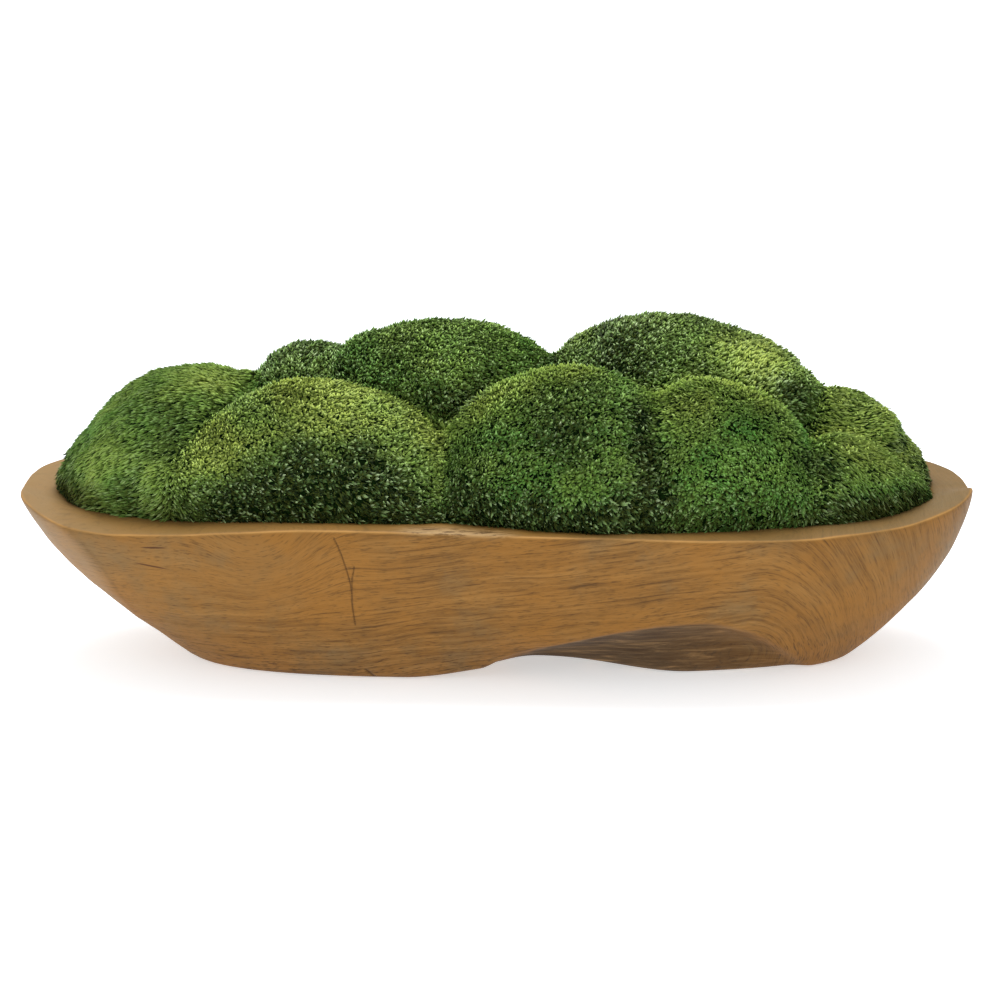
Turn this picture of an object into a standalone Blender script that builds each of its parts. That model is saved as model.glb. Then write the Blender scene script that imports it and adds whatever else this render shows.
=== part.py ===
"""Moss centerpiece: a trough carved from one block of teak, a bed of dry foam cut to fit
its hollow, and nine clumps of cushion moss heaped on the foam.

Metres, +Z up. X runs along the trough, -Y is its front. The origin is on the surface that
the trough stands on, under the middle of its rim.
"""

import math

import bmesh
import bpy
import numpy as np

# Trough, at the rim
LENGTH = 0.760
WIDTH = 0.312
RIM_HEIGHT = 0.132
RIM_POWER = 2.9
SPOKES = 112
RIM_SAMPLES = 3601

# The carver's waist in the left of the front, where the rim also stands highest
WAIST = 0.085
WAIST_X = -0.110
WAIST_HALF = 0.280
RIM_WAVE = 0.006

# Trough, at the foot: how far it reaches from the middle to each side
FOOT_LEFT = 0.246
FOOT_RIGHT = 0.286
FOOT_HALF_WIDTH = 0.088
FOOT_POWER = 2.8
FOOT_ROUND = 0.005

# How the outer walls flare from foot to rim: 1 is straight, more is rounder
FLARE_LEFT = 1.32
FLARE_RIGHT = 1.62
FLARE_SIDE = 1.7
WALL_SHARES = (0.035, 0.1, 0.17, 0.24, 0.31, 0.38, 0.46, 0.58, 0.7, 0.84)

# Rim and hollow
RIM_ROUND = 0.0025
RIM_THICK_END = 0.030
RIM_THICK_SIDE = 0.024
RIM_DROP = 0.0015
HOLLOW_FLOOR = 0.030
FLOOR_LEFT = 0.205
FLOOR_RIGHT = 0.235
FLOOR_HALF_WIDTH = 0.068
HOLLOW_FLARE = 1.9

# Underside: a low arch between the two feet, and a scoop under the front right
ARCH_X = 0.030
ARCH_HALF = 0.088
ARCH_RISE = 0.014
ARCH_FADE = 0.050
SCOOP_X = 0.157
SCOOP_LEFT = 0.170
SCOOP_RIGHT = 0.098
SCOOP_RISE = 0.058
SCOOP_DEPTH = 0.020
SCOOP_EDGE = 0.026

# Foam bed
FOAM_TOP = RIM_HEIGHT - 0.015
FOAM_GAP = 0.0005
FOAM_SHARES = (1, 0.8, 0.55, 0.3, 0.1)

# Moss: where its domes start, how they round off to the rim and dip to each other
MOSS_SEAT = FOAM_TOP + 0.0003
MOSS_BASE = RIM_HEIGHT - 0.0085
FOOT_INSET = 0.98
RIM_GAP = 0.0016
ROUND_REACH = 0.068
ROUND_POWER = 2.2
CREASE_GAP = 0.0011
CREASE_DIP = 0.010
CREASE_REACH = 0.034
PROFILE_STEP = 0.001

# Tufts: a clump's surface is a net of small leafy tips
TUFT_WIDTH = 0.0145
TUFT_HEIGHT = 0.0070
TUFT_OVERHANG = 0.0040
TUFT_LOWEST = 0.75
TUFT_SHIFT = 0.2 * TUFT_WIDTH
TUFT_SEED = 7

# Colours, linear, with their roughness
TEAK = ((0.27, 0.13, 0.045), 0.6)
FOAM = ((0.09, 0.13, 0.06), 0.95)
MOSS = ((0.07, 0.13, 0.025), 0.9)
SHARP_ANGLE = math.radians(40)

# name, middle x, middle y, half length, half depth, top above the rim, how far it stays
# in from the rim
CUSHIONS = (
    ("moss_left_end", -0.243, 0.014, 0.119, 0.130, 0.100, 0.0035),
    ("moss_front_left", -0.147, -0.054, 0.138, 0.108, 0.1025, 0.0045),
    ("moss_back_left", -0.138, 0.062, 0.100, 0.085, 0.117, 0.0020),
    ("moss_back_center", -0.044, 0.046, 0.152, 0.100, 0.133, 0.0020),
    ("moss_front_center", 0.061, -0.050, 0.130, 0.108, 0.112, 0.0000),
    ("moss_back_right", 0.141, 0.048, 0.155, 0.105, 0.138, 0.0020),
    ("moss_front_right", 0.160, -0.055, 0.108, 0.105, 0.105, 0.0010),
    ("moss_back_end_right", 0.272, 0.040, 0.096, 0.095, 0.083, 0.0030),
    ("moss_right_end", 0.273, -0.048, 0.084, 0.090, 0.0625, 0.0050),
)

MOUTH_HALF_LENGTH = LENGTH / 2 - RIM_THICK_END
MOUTH_HALF_WIDTH = WIDTH / 2 - RIM_THICK_SIDE


def ease(value):
    """0 up to 0, 1 from 1 on, and a smooth step between."""
    value = np.clip(value, 0.0, 1.0)
    return value * value * (3 - 2 * value)


def flare(share, low, high, power):
    return low + (high - low) * (1 - (1 - share) ** power)


def rim_spokes():
    """Directions round the trough, in shares of its half length and half width, that
    space the rim's corners evenly along it."""
    turns = np.linspace(0, 2 * math.pi, RIM_SAMPLES)
    across, along = np.cos(turns), np.sin(turns)
    reach = (abs(across) ** RIM_POWER + abs(along) ** RIM_POWER) ** (-1 / RIM_POWER)
    x, y = across * reach * LENGTH / 2, along * reach * WIDTH / 2
    run = np.concatenate([[0], np.cumsum(np.hypot(np.diff(x), np.diff(y)))])
    even = np.interp(np.arange(SPOKES) / SPOKES * run[-1], run, turns)
    return [(math.cos(turn), math.sin(turn)) for turn in even]


def bump(x):
    """1 at the waist's middle and 0 past its ends."""
    return 1 - ease(abs(x - WAIST_X) / WAIST_HALF)


def oval(left, right, half_width, power, waist, height, spokes):
    """One level ring: a blunt oval whose two halves may differ in length, drawn in at the
    front by a share called waist."""
    ring = []
    for across, along in spokes:
        reach = (abs(across) ** power + abs(along) ** power) ** (-1 / power)
        x = across * reach * (right if across > 0 else left)
        y = along * reach * half_width
        if y < 0:
            y *= 1 - waist * bump(x)
        ring.append((x, y, height))
    return ring


def outer_ring(share, height, inset, spokes):
    left = flare(share, FOOT_LEFT, LENGTH / 2, FLARE_LEFT) - inset
    right = flare(share, FOOT_RIGHT, LENGTH / 2, FLARE_RIGHT) - inset
    half_width = flare(share, FOOT_HALF_WIDTH, WIDTH / 2, FLARE_SIDE) - inset
    power = FOOT_POWER + (RIM_POWER - FOOT_POWER) * share
    return oval(left, right, half_width, power, WAIST * share, height, spokes)


def hollow_ring(height, inset, spokes):
    """A ring on the hollow's wall, or inset from it."""
    share = (height - HOLLOW_FLOOR) / (RIM_HEIGHT - HOLLOW_FLOOR)
    left = flare(share, FLOOR_LEFT, MOUTH_HALF_LENGTH, HOLLOW_FLARE) - inset
    right = flare(share, FLOOR_RIGHT, MOUTH_HALF_LENGTH, HOLLOW_FLARE) - inset
    half_width = flare(share, FLOOR_HALF_WIDTH, MOUTH_HALF_WIDTH, HOLLOW_FLARE) - inset
    return oval(left, right, half_width, RIM_POWER, WAIST, height, spokes)


def wave_rim(ring, start):
    """Lets the rim stand higher at the waist, fading out down to start."""
    waved = []
    for x, y, z in ring:
        share = (z - start) / (RIM_HEIGHT - start)
        waved.append((x, y, z + RIM_WAVE * share * bump(x)))
    return waved


def carve(ring):
    """Lifts the arch under the trough and pushes in the scoop under its front right."""
    carved = []
    for x, y, z in ring:
        reach = SCOOP_RIGHT if x > SCOOP_X else SCOOP_LEFT
        scoop_top = SCOOP_RISE * (1 - ((x - SCOOP_X) / reach) ** 2)
        if y < 0:
            y += SCOOP_DEPTH * ease((scoop_top - z) / SCOOP_EDGE)
        arch = ARCH_RISE * (1 - ease(abs(x - ARCH_X) / ARCH_HALF))
        carved.append((x, y, z + arch * (1 - ease(z / ARCH_FADE))))
    return carved


def add_ring(bm, points):
    """A closed ring of corners joined by edges."""
    corners = [bm.verts.new(point) for point in points]
    for first, second in zip(corners, corners[1:] + corners[:1]):
        bm.edges.new((first, second))
    return corners


def join_rings(bm, lower, upper):
    """The wall between two rings that have their corners one above another."""
    count = len(lower)
    for i in range(count):
        after = (i + 1) % count
        bm.faces.new((lower[i], lower[after], upper[after], upper[i]))


def ladder(bm, ring):
    """Closes a ring with strips from its front to its back, so that it can bend along X."""
    half = len(ring) // 2
    for i in range(half):
        strip = [ring[i], ring[i + 1], ring[-(i + 1)], ring[-i]]
        bm.faces.new(list(dict.fromkeys(strip)))


def finish(bm, name, look):
    """Makes the mesh an object with its own material, smooth but for its sharp edges."""
    bmesh.ops.recalc_face_normals(bm, faces=bm.faces)
    mesh = bpy.data.meshes.new(name)
    bm.to_mesh(mesh)
    bm.free()
    mesh.shade_smooth()
    mesh.set_sharp_from_angle(angle=SHARP_ANGLE)
    material = bpy.data.materials.new(name)
    material.use_nodes = True
    shader = material.node_tree.nodes["Principled BSDF"]
    colour, roughness = look
    shader.inputs["Base Color"].default_value = (*colour, 1)
    shader.inputs["Roughness"].default_value = roughness
    shader.inputs["Metallic"].default_value = 0
    mesh.materials.append(material)
    parts.objects.link(bpy.data.objects.new(name, mesh))


def make_shell(rings, name, look):
    """One closed body through a stack of rings, laddered at both ends."""
    bm = bmesh.new()
    made = [add_ring(bm, ring) for ring in rings]
    for lower, upper in zip(made, made[1:]):
        join_rings(bm, lower, upper)
    ladder(bm, made[0])
    ladder(bm, made[-1])
    finish(bm, name, look)


def foam_heights():
    """The levels, from the top down, at which the hollow and the foam both have corners."""
    return [HOLLOW_FLOOR + share * (FOAM_TOP - HOLLOW_FLOOR) for share in FOAM_SHARES]


def make_trough(spokes):
    """The carved teak: foot, outer wall, rim, hollow and floor."""
    outside = [outer_ring(0, 0, FOOT_ROUND, spokes)]
    outside += [outer_ring(share, share * RIM_HEIGHT, 0, spokes) for share in WALL_SHARES]
    outside.append(outer_ring(1, RIM_HEIGHT - RIM_ROUND, 0, spokes))
    outside.append(outer_ring(1, RIM_HEIGHT, RIM_ROUND, spokes))
    rings = [carve(wave_rim(ring, 0)) for ring in outside]

    mouth = hollow_ring(RIM_HEIGHT - RIM_DROP, 0, spokes)
    rings.append(wave_rim(mouth, FOAM_TOP))
    rings += [hollow_ring(height, 0, spokes) for height in foam_heights()]
    rings.append(hollow_ring(HOLLOW_FLOOR, 0, spokes))
    make_shell(rings, "teak_trough", TEAK)


def make_foam(spokes):
    """The dry foam, cut to the hollow and level on top."""
    rings = [hollow_ring(height, FOAM_GAP, spokes) for height in foam_heights()]
    rings.append(hollow_ring(HOLLOW_FLOOR + FOAM_GAP, 2 * FOAM_GAP, spokes))
    make_shell(rings, "foam_bed", FOAM)


class Cushion:
    """A dome of moss on an oval footprint."""

    def __init__(self, name, x, y, half_length, half_depth, top, inset):
        self.name = name
        self.x, self.y = x, y
        self.half_length, self.half_depth = half_length, half_depth
        self.rise = top + RIM_HEIGHT - MOSS_BASE - TUFT_HEIGHT
        self.inset = inset + RIM_GAP

    def dome(self, x, y):
        """How high the bare dome stands over the moss's base at points x, y."""
        across = (x - self.x) / self.half_length
        along = (y - self.y) / self.half_depth
        return self.rise * np.sqrt(np.clip(1 - across**2 - along**2, 0, 1))

    def to_rim(self, x, y):
        """About how far x, y is inside the line that this cushion keeps to at the rim."""
        half_length = MOUTH_HALF_LENGTH - self.inset
        half_width = MOUTH_HALF_WIDTH * np.where(y < 0, 1 - WAIST * bump(x), 1) - self.inset
        total = abs(x / half_length) ** RIM_POWER + abs(y / half_width) ** RIM_POWER
        share = total ** (1 / RIM_POWER)
        slope_x = abs(x / half_length) ** (RIM_POWER - 1) / half_length
        slope_y = abs(y / half_width) ** (RIM_POWER - 1) / half_width
        slope = np.hypot(slope_x, slope_y) * share ** (1 - RIM_POWER)
        return (1 - share) / np.maximum(slope, 1 / LENGTH)

    def ray(self, angle, others):
        """The surface from the dome's middle out to where its own ground ends, as
        distances, heights, the run along the surface, and whether it ends at the rim."""
        out = np.arange(0, max(self.half_length, self.half_depth), PROFILE_STEP)
        x, y = self.x + out * math.cos(angle), self.y + out * math.sin(angle)
        mine = self.dome(x, y)
        lead = mine - np.max([other.dome(x, y) for other in others], axis=0)
        inside = self.to_rim(x, y)
        lost = np.argmax(np.append((lead < 0) | (mine <= 0), True))
        edge = np.argmax(np.append(inside <= 0, True))
        last = max(2, min(lost, edge))
        dip = CREASE_DIP * (1 - ease(lead / CREASE_REACH))
        near = np.clip(inside / ROUND_REACH, 0, 1)
        rounding = (1 - (1 - near) ** ROUND_POWER) ** (1 / ROUND_POWER)
        tops = (np.maximum(mine - dip, 0) * rounding)[:last]
        at_rim = edge <= lost
        reach = out[:last] if at_rim else out[:last] * (1 - CREASE_GAP / out[last - 1])
        run = np.concatenate([[0], np.cumsum(np.hypot(np.diff(reach), np.diff(tops)))])
        return reach, tops, run, at_rim


def disc_of(u, v):
    """A point of the square from -1 to 1 as (distance, angle) in the unit disc, so that a
    square net spreads evenly over a round one."""
    if u == 0 and v == 0:
        return 0.0, 0.0
    if abs(u) >= abs(v):
        return abs(u), math.pi / 4 * v / u + (math.pi if u < 0 else 0)
    return abs(v), math.pi / 2 - math.pi / 4 * u / v + (math.pi if v < 0 else 0)


def raise_tufts(bm, cushion, others):
    """Pokes each face of the dome into a leafy tip, bent clear of the next cushion."""
    random = np.random.default_rng(TUFT_SEED)
    for face in list(bm.faces):
        middle, lean = face.calc_center_median(), face.normal.copy()
        tip = middle + lean * TUFT_HEIGHT * random.uniform(TUFT_LOWEST, 1)
        tip.x += random.uniform(-TUFT_SHIFT, TUFT_SHIFT)
        tip.y += random.uniform(-TUFT_SHIFT, TUFT_SHIFT)
        across, along = tip.x - cushion.x, tip.y - cushion.y
        reach, _, _, at_rim = cushion.ray(math.atan2(along, across), others)
        over_rim = at_rim and tip.z > RIM_HEIGHT + RIM_WAVE + TUFT_OVERHANG
        limit = reach[-1] + (TUFT_OVERHANG if over_rim else -CREASE_GAP)
        out = math.hypot(across, along)
        if out > limit:
            tip.x = cushion.x + across * limit / out
            tip.y = cushion.y + along * limit / out
        poked = bmesh.ops.poke(bm, faces=[face])
        poked["verts"][0].co = tip


def make_cushion(cushion, others):
    """One clump of moss: a dome covered in tufts, with a flat-cut foot on the foam."""
    girth = cushion.half_length + cushion.half_depth
    strips = 2 * round(girth / TUFT_WIDTH / 2)
    bm = bmesh.new()
    bmesh.ops.create_grid(bm, x_segments=strips, y_segments=strips, size=1)
    for corner in bm.verts:
        share, angle = disc_of(round(corner.co.x, 6), round(corner.co.y, 6))
        reach, tops, run, _ = cushion.ray(angle, others)
        out = float(np.interp(share * run[-1], run, reach))
        corner.co.x = cushion.x + out * math.cos(angle)
        corner.co.y = cushion.y + out * math.sin(angle)
        corner.co.z = MOSS_BASE + float(np.interp(out, reach, tops))
    bm.normal_update()
    border = [edge for edge in bm.edges if edge.is_boundary]
    raise_tufts(bm, cushion, others)

    made = bmesh.ops.extrude_edge_only(bm, edges=border)["geom"]
    for corner in made:
        if isinstance(corner, bmesh.types.BMVert):
            corner.co.x = cushion.x + (corner.co.x - cushion.x) * FOOT_INSET
            corner.co.y = cushion.y + (corner.co.y - cushion.y) * FOOT_INSET
            corner.co.z = MOSS_SEAT
    foot = [edge for edge in made if isinstance(edge, bmesh.types.BMEdge)]
    bmesh.ops.contextual_create(bm, geom=foot)
    finish(bm, cushion.name, MOSS)


for old in list(bpy.data.objects):
    bpy.data.objects.remove(old)
parts = bpy.data.collections.new("moss_centerpiece")
bpy.context.scene.collection.children.link(parts)

directions = rim_spokes()
make_trough(directions)
make_foam(directions)
clumps = [Cushion(*row) for row in CUSHIONS]
for clump in clumps:
    make_cushion(clump, [other for other in clumps if other is not clump])
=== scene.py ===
"""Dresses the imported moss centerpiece: a trough carved from one block of teak, the foam in its
hollow and nine clumps of cushion moss. Metres, +Z up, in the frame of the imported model, with the
trough's length along X and its front at -Y.
"""

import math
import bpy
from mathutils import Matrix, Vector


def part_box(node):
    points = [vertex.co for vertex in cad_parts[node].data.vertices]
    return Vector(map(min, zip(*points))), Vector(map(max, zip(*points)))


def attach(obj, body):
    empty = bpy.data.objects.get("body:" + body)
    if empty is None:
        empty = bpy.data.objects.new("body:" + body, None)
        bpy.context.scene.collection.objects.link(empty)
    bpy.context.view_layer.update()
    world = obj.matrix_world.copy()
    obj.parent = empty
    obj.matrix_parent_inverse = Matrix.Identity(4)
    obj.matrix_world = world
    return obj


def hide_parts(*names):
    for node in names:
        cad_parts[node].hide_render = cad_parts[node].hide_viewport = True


bl_info = {
    "name": "Moss Centerpiece",
    "version": (1, 0, 0),
    "blender": (4, 5, 0),
    "location": "3D View > Sidebar > Centerpiece",
    "description": "Builds a carved teak trough heaped with clumps of cushion moss",
    "category": "Add Mesh",
}

import bpy
import numpy as np
from bpy.props import FloatProperty, IntProperty, PointerProperty, StringProperty
from mathutils import Vector, noise
from mathutils.bvhtree import BVHTree

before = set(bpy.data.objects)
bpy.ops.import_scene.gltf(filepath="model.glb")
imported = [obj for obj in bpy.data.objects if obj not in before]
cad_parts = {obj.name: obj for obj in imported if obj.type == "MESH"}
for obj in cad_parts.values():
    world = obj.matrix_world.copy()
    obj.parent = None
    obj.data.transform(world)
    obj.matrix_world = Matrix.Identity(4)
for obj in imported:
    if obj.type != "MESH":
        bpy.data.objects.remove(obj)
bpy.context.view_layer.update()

MM = 0.001
MERGE = 0.01 * MM

# The trough's outline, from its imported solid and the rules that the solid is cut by
TROUGH_LOW, TROUGH_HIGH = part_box("teak_trough")
RIM_WAVE = 6 * MM
HALF_LENGTH = (TROUGH_HIGH.x - TROUGH_LOW.x) / 2
HALF_WIDTH = TROUGH_HIGH.y
RIM_HEIGHT = TROUGH_HIGH.z - RIM_WAVE
RIM_POWER = 2.9
WAIST = 0.085
WAIST_X = -110 * MM
WAIST_HALF = 280 * MM
FOOT_LEFT = 246 * MM
FOOT_RIGHT = 286 * MM
FOOT_HALF_WIDTH = 88 * MM
FOOT_POWER = 2.8
FOOT_ROUND = 5 * MM
FOOT_SHARE = 0.035
FLARE_LEFT = 1.26
FLARE_RIGHT = 1.62
FLARE_SIDE = 1.7
RIM_ROUND = 2.5 * MM
RIM_ROUND_FROM = 0.84
RIM_DROP = 1.5 * MM
RIM_CROWN = 0.5 * MM
MOUTH_LEFT = HALF_LENGTH - 35 * MM
MOUTH_RIGHT = HALF_LENGTH - 31 * MM
MOUTH_HALF_WIDTH = HALF_WIDTH - 24 * MM
MOUTH_ROUND = 2 * MM
MOUTH_POWER_LEFT = 2.2
MOUTH_POWER_RIGHT = 2.35
MOUTH_NOTCH = 11 * MM
NOTCH_X = -25 * MM
NOTCH_REACH = 34 * MM
FOAM_TOP = RIM_HEIGHT - 15 * MM
HOLLOW_FLOOR = 30 * MM
FLOOR_LEFT = 205 * MM
FLOOR_RIGHT = 235 * MM
FLOOR_HALF_WIDTH = 68 * MM
HOLLOW_FLARE = 1.9
ARCH_X = 30 * MM
ARCH_LEFT = 103 * MM
ARCH_RIGHT = 124 * MM
ARCH_RISE = 12 * MM
ARCH_FADE = 50 * MM
SCOOP_X = 157 * MM
SCOOP_LEFT = 170 * MM
SCOOP_RIGHT = 98 * MM
SCOOP_RISE = 58 * MM
SCOOP_DEPTH = 20 * MM
SCOOP_EDGE = 26 * MM

# The scoop is shallower at its right, near the floor
SCOOP_SHALLOW = 0.5
SHALLOW_FROM = 60 * MM
SHALLOW_RUN = 100 * MM
SHALLOW_HEIGHT = 32 * MM

# How the front of the rim, cut by eye, rises and falls: x and height in millimetres
RIM_LINE = (
    (-380, 9), (-374, 9), (-358, 4), (-334, -3), (-300, -5.5), (-230, -3.8), (-160, -1.2), (-50, -2.4),
    (0, -2), (80, 0.3), (140, -0.6), (235, -2.6), (315, 1), (365, 9), (380, 14))
RIM_LINE_STEP = 2.5 * MM
RIM_LINE_MARGIN = 50 * MM
RIM_LINE_BLUR = 17
RIM_FRONT_FADE = 50 * MM
BACK_LIFT_LEFT = 6 * MM
BACK_LIFT_RIGHT = 3 * MM
BACK_LIFT_FROM = 290 * MM
BACK_LIFT_RUN = 80 * MM

# What the carver and the years left on the trough, as points (x, z) on its front
SCOOP_LIP = 7 * MM
SCOOP_FADE = 2.5
LIP_SHARE = 0.4
RIDGE = ((-285, 50), (-295, 70), (-305, 95), (-318, 115), (-330, 128.5), (-342, 140))
END_WALL_FROM = -278 * MM
END_WALL_BLEND = 14 * MM
RIDGE_HEIGHT = 1.6 * MM
RIDGE_FADE = 40 * MM
RIDGE_LEAN = 0.6
RIDGE_REACH = 22 * MM
RIDGE_WIDTH = 1.4 * MM
RIDGE_SHADE = 0.3
DRYING_CRACK = (
    (-109.3, 56), (-110.4, 68), (-111.0, 76), (-110.9, 84), (-111.6, 92), (-113.0, 99), (-115.0, 107),
    (-118.0, 117), (-121.0, 125), (-124.0, 131))
CRACK_FORK = ((-110.9, 84), (-110.7, 92), (-110.2, 98), (-109.0, 104), (-108.6, 107))
FOOT_NICK = ((-95.5, 1), (-99.7, 6), (-103.5, 10))
CRACKS = ((DRYING_CRACK, 0.5 * MM), (CRACK_FORK, 0.5 * MM), (FOOT_NICK, 1.3 * MM))
CRACK_DEPTH = 1.0 * MM
CRACK_BAND = (-156 * MM, -108 * MM)
CRACK_FINENESS = 6
BARK_FROM = -85 * MM
BARK_TO = 24 * MM
BARK_FADE = 30 * MM

# Slits that resin has filled: the middle's x and z, half the length, in millimetres, and the slope
RESIN_SLITS = ((-265.0, 103.0, 15.0, -0.16), (-262.5, 119.5, 12.0, 0.02))
SLIT_HEIGHT = 0.9 * MM

# The teak's growth rings lie round an axis that rises to the right, and they bend round a knot.
# Where the axis ends, inside the right foot, they turn down: along x from AXIS_END to RINGS_END,
# a point counts as up to RINGS_CLOSE further from it
RING_SLOPE = -0.15
RING_LIFT = 12.5 * MM
RING_DEPTH = 0.4
AXIS_END = 200 * MM
RINGS_END = 400 * MM
RINGS_CLOSE = 300 * MM
KNOT = (-0.180, -0.135, 0.115)
KNOT_REACH = 70 * MM
KNOT_LIFT = 30 * MM
STREAK_RUN = 45 * MM
BAND_RUN = 150 * MM
PORE_RUN = 8 * MM

# Noise, in cells to a metre. In millimetres: waves in the grain 140 long, patches 90 wide, grey
# fibres 45 long and 4 apart, crumbs of bark 14 by 3, uneven spill, swirls and shade of the moss
# 30 to 45 wide, drifts of warmer green 38 wide, and thatch fibres 2.4 apart
GRAIN_WAVES = 7
TEAK_PATCHES = 11
SCOOP_FIBRES = (22, 22, 260)
RIM_CRUMBS = (70, 300, 400)
SPILL_NOISE = 32
SWIRL_NOISE = 22
SHADE_NOISE = 30
WARMTH_DRIFT = 26
THATCH_FIBRES = 420

# The trough's net of faces: round it, and row by row from under its foot to its floor
SPOKES = 520
RIM_SAMPLES = 7201
UNDER_ROWS = 7
FOOT_ROWS = 4
WALL_ROWS = 62
EDGE_ROWS = 4
RIM_ROWS = 6
HOLLOW_ROWS = 10
FLOOR_ROWS = 3

# Rows past the wall's last one, and how many rows the worn edge's painted highlight and the rough bark spread
# over
EDGE_HIGHLIGHT_ROW = 2
EDGE_HIGHLIGHT_SPREAD = 0.9
BARK_ROW = 4
BARK_SPREAD = 3

# What a piece's corners hold for its material
TROUGH_MARKS = ("scooped", "end_wall", "cracked", "edge", "rim", "bark")
MOSS_MARKS = ("tip", "tone", "aged_and_shaded", "warmth_and_light")


def ease(value):
    """0 up to 0, 1 from 1 on, and a smooth step between."""
    value = np.clip(value, 0.0, 1.0)
    return value * value * (3 - 2 * value)


def flare(share, low, high, power):
    """From low at share 0 to high at share 1, the faster at first the larger the power."""
    return low + (high - low) * (1 - (1 - share) ** power)


def linear(code):
    """An sRGB hex colour as the linear RGBA that shaders take."""
    channels = [int(code[i:i + 2], 16) / 255 for i in (1, 3, 5)]
    return [c / 12.92 if c <= 0.04045 else ((c + 0.055) / 1.055) ** 2.4 for c in channels] + [1.0]


def add_node(tree, kind, inputs=(), stops=(), **options):
    """Adds a shader node and sets its options, its inputs and a ramp's stops. Inputs are given by
    name, or in the order in which the node shows them. A socket or a node's first output is
    linked, and a hex colour is made linear."""
    node = tree.nodes.new("ShaderNode" + kind)
    for name, value in options.items():
        setattr(node, name, value)
    if isinstance(inputs, dict):
        sockets = [node.inputs[name] for name in inputs]
        inputs = inputs.values()
    else:
        sockets = [socket for socket in node.inputs if socket.enabled]
    for socket, value in zip(sockets, inputs):
        if isinstance(value, bpy.types.Node):
            value = next(output for output in value.outputs if output.enabled)
        if isinstance(value, bpy.types.NodeSocket):
            tree.links.new(value, socket)
        else:
            socket.default_value = linear(value) if isinstance(value, str) else value
    for i, (place, colour) in enumerate(stops):
        ramp = node.color_ramp.elements
        stop = ramp[i] if i < 2 else ramp.new(place)
        stop.position = place
        stop.color = linear(colour)
    return node


def start_material(name):
    """An empty node material and its tree."""
    material = bpy.data.materials.new(name)
    material.use_nodes = True
    material.node_tree.nodes.clear()
    return material, material.node_tree


def select_only(piece):
    """Makes a piece the one that operators act on."""
    bpy.ops.object.select_all(action="DESELECT")
    piece.select_set(True)
    bpy.context.view_layer.objects.active = piece


def edit_all(piece, operator, **settings):
    """Runs one mesh operator on everything in a piece."""
    select_only(piece)
    bpy.ops.object.mode_set(mode="EDIT")
    bpy.ops.mesh.select_all(action="SELECT")
    operator(**settings)
    bpy.ops.object.mode_set(mode="OBJECT")


def apply_modifiers(piece):
    """Applies a piece's modifiers, from the first to the last."""
    select_only(piece)
    for modifier in list(piece.modifiers):
        bpy.ops.object.modifier_apply(modifier=modifier.name)


def add_lumps(piece, name, width, height, group=""):
    """Raises and lowers a piece's surface in soft lumps, all over or in one vertex group."""
    clouds = bpy.data.textures.new(name, "CLOUDS")
    clouds.noise_scale = width
    clouds.noise_depth = 1
    lumps = piece.modifiers.new(name, "DISPLACE")
    lumps.texture = clouds
    lumps.texture_coords = "LOCAL"
    lumps.strength = height
    lumps.vertex_group = group
    apply_modifiers(piece)


def link_piece(name, mesh):
    """A new piece in the scene, with a mesh of its own."""
    piece = bpy.data.objects.new(name, mesh)
    bpy.context.scene.collection.objects.link(piece)
    return piece


def copy_of_node(node, name):
    """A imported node's solid as a new piece, with its loose triangles merged."""
    piece = link_piece(name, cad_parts[node].data.copy())
    edit_all(piece, bpy.ops.mesh.remove_doubles, threshold=MERGE)
    return piece


def read_corners(mesh, what):
    """The points (co) or the normals (normal) of a mesh's corners, as an array."""
    values = np.empty(len(mesh.vertices) * 3)
    mesh.vertices.foreach_get(what, values)
    return values.reshape(-1, 3)


def move_corners(mesh, points):
    """Puts a mesh's corners at new places."""
    mesh.vertices.foreach_set("co", points.ravel())
    mesh.update()


def write_marks(mesh, names, marks):
    """Stores numbers for each corner of a mesh, for its material to read."""
    for name, values in zip(names, marks):
        attribute = mesh.attributes.new(name, "FLOAT", "POINT")
        attribute.data.foreach_set("value", np.asarray(values, np.float32))


def noise_at(points, cells):
    """Soft noise from about -1 to 1 at each point, with so many cells to a metre."""
    return np.array([noise.noise(Vector(point) * cells) for point in points])


def set_material(piece, material):
    """Gives a piece one material and no other."""
    piece.data.materials.clear()
    piece.data.materials.append(material)


def show_piece(piece, node):
    """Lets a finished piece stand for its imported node."""
    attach(piece, "root")
    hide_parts(node)


# The trough


def waist_share(x):
    """1 at the middle of the waist in the trough's front, and 0 past its ends."""
    return 1 - ease(abs(x - WAIST_X) / WAIST_HALF)


def spoke_turns():
    """Angles round the trough that space its rim evenly, but closer at the drying crack."""
    turns = np.linspace(0, 2 * math.pi, RIM_SAMPLES)
    x, y = oval(turns, HALF_LENGTH, HALF_LENGTH, HALF_WIDTH, RIM_POWER, 0)
    cracked = (x[1:] > CRACK_BAND[0]) & (x[1:] < CRACK_BAND[1]) & (y[1:] < 0)
    steps = np.hypot(np.diff(x), np.diff(y)) * np.where(cracked, CRACK_FINENESS, 1)
    run = np.concatenate([[0], np.cumsum(steps)])
    return np.interp(np.linspace(0, run[-1], SPOKES + 1), run, turns)


def oval(turns, left, right, half_width, power, waist):
    """A blunt oval whose two halves may differ in length, drawn in at its front."""
    across, along = np.cos(turns), np.sin(turns)
    reach = (abs(across) ** power + abs(along) ** power) ** (-1 / power)
    x = across * reach * np.where(across > 0, right, left)
    y = along * reach * half_width
    return x, np.where(y < 0, y * (1 - waist * waist_share(x)), y)


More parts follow.
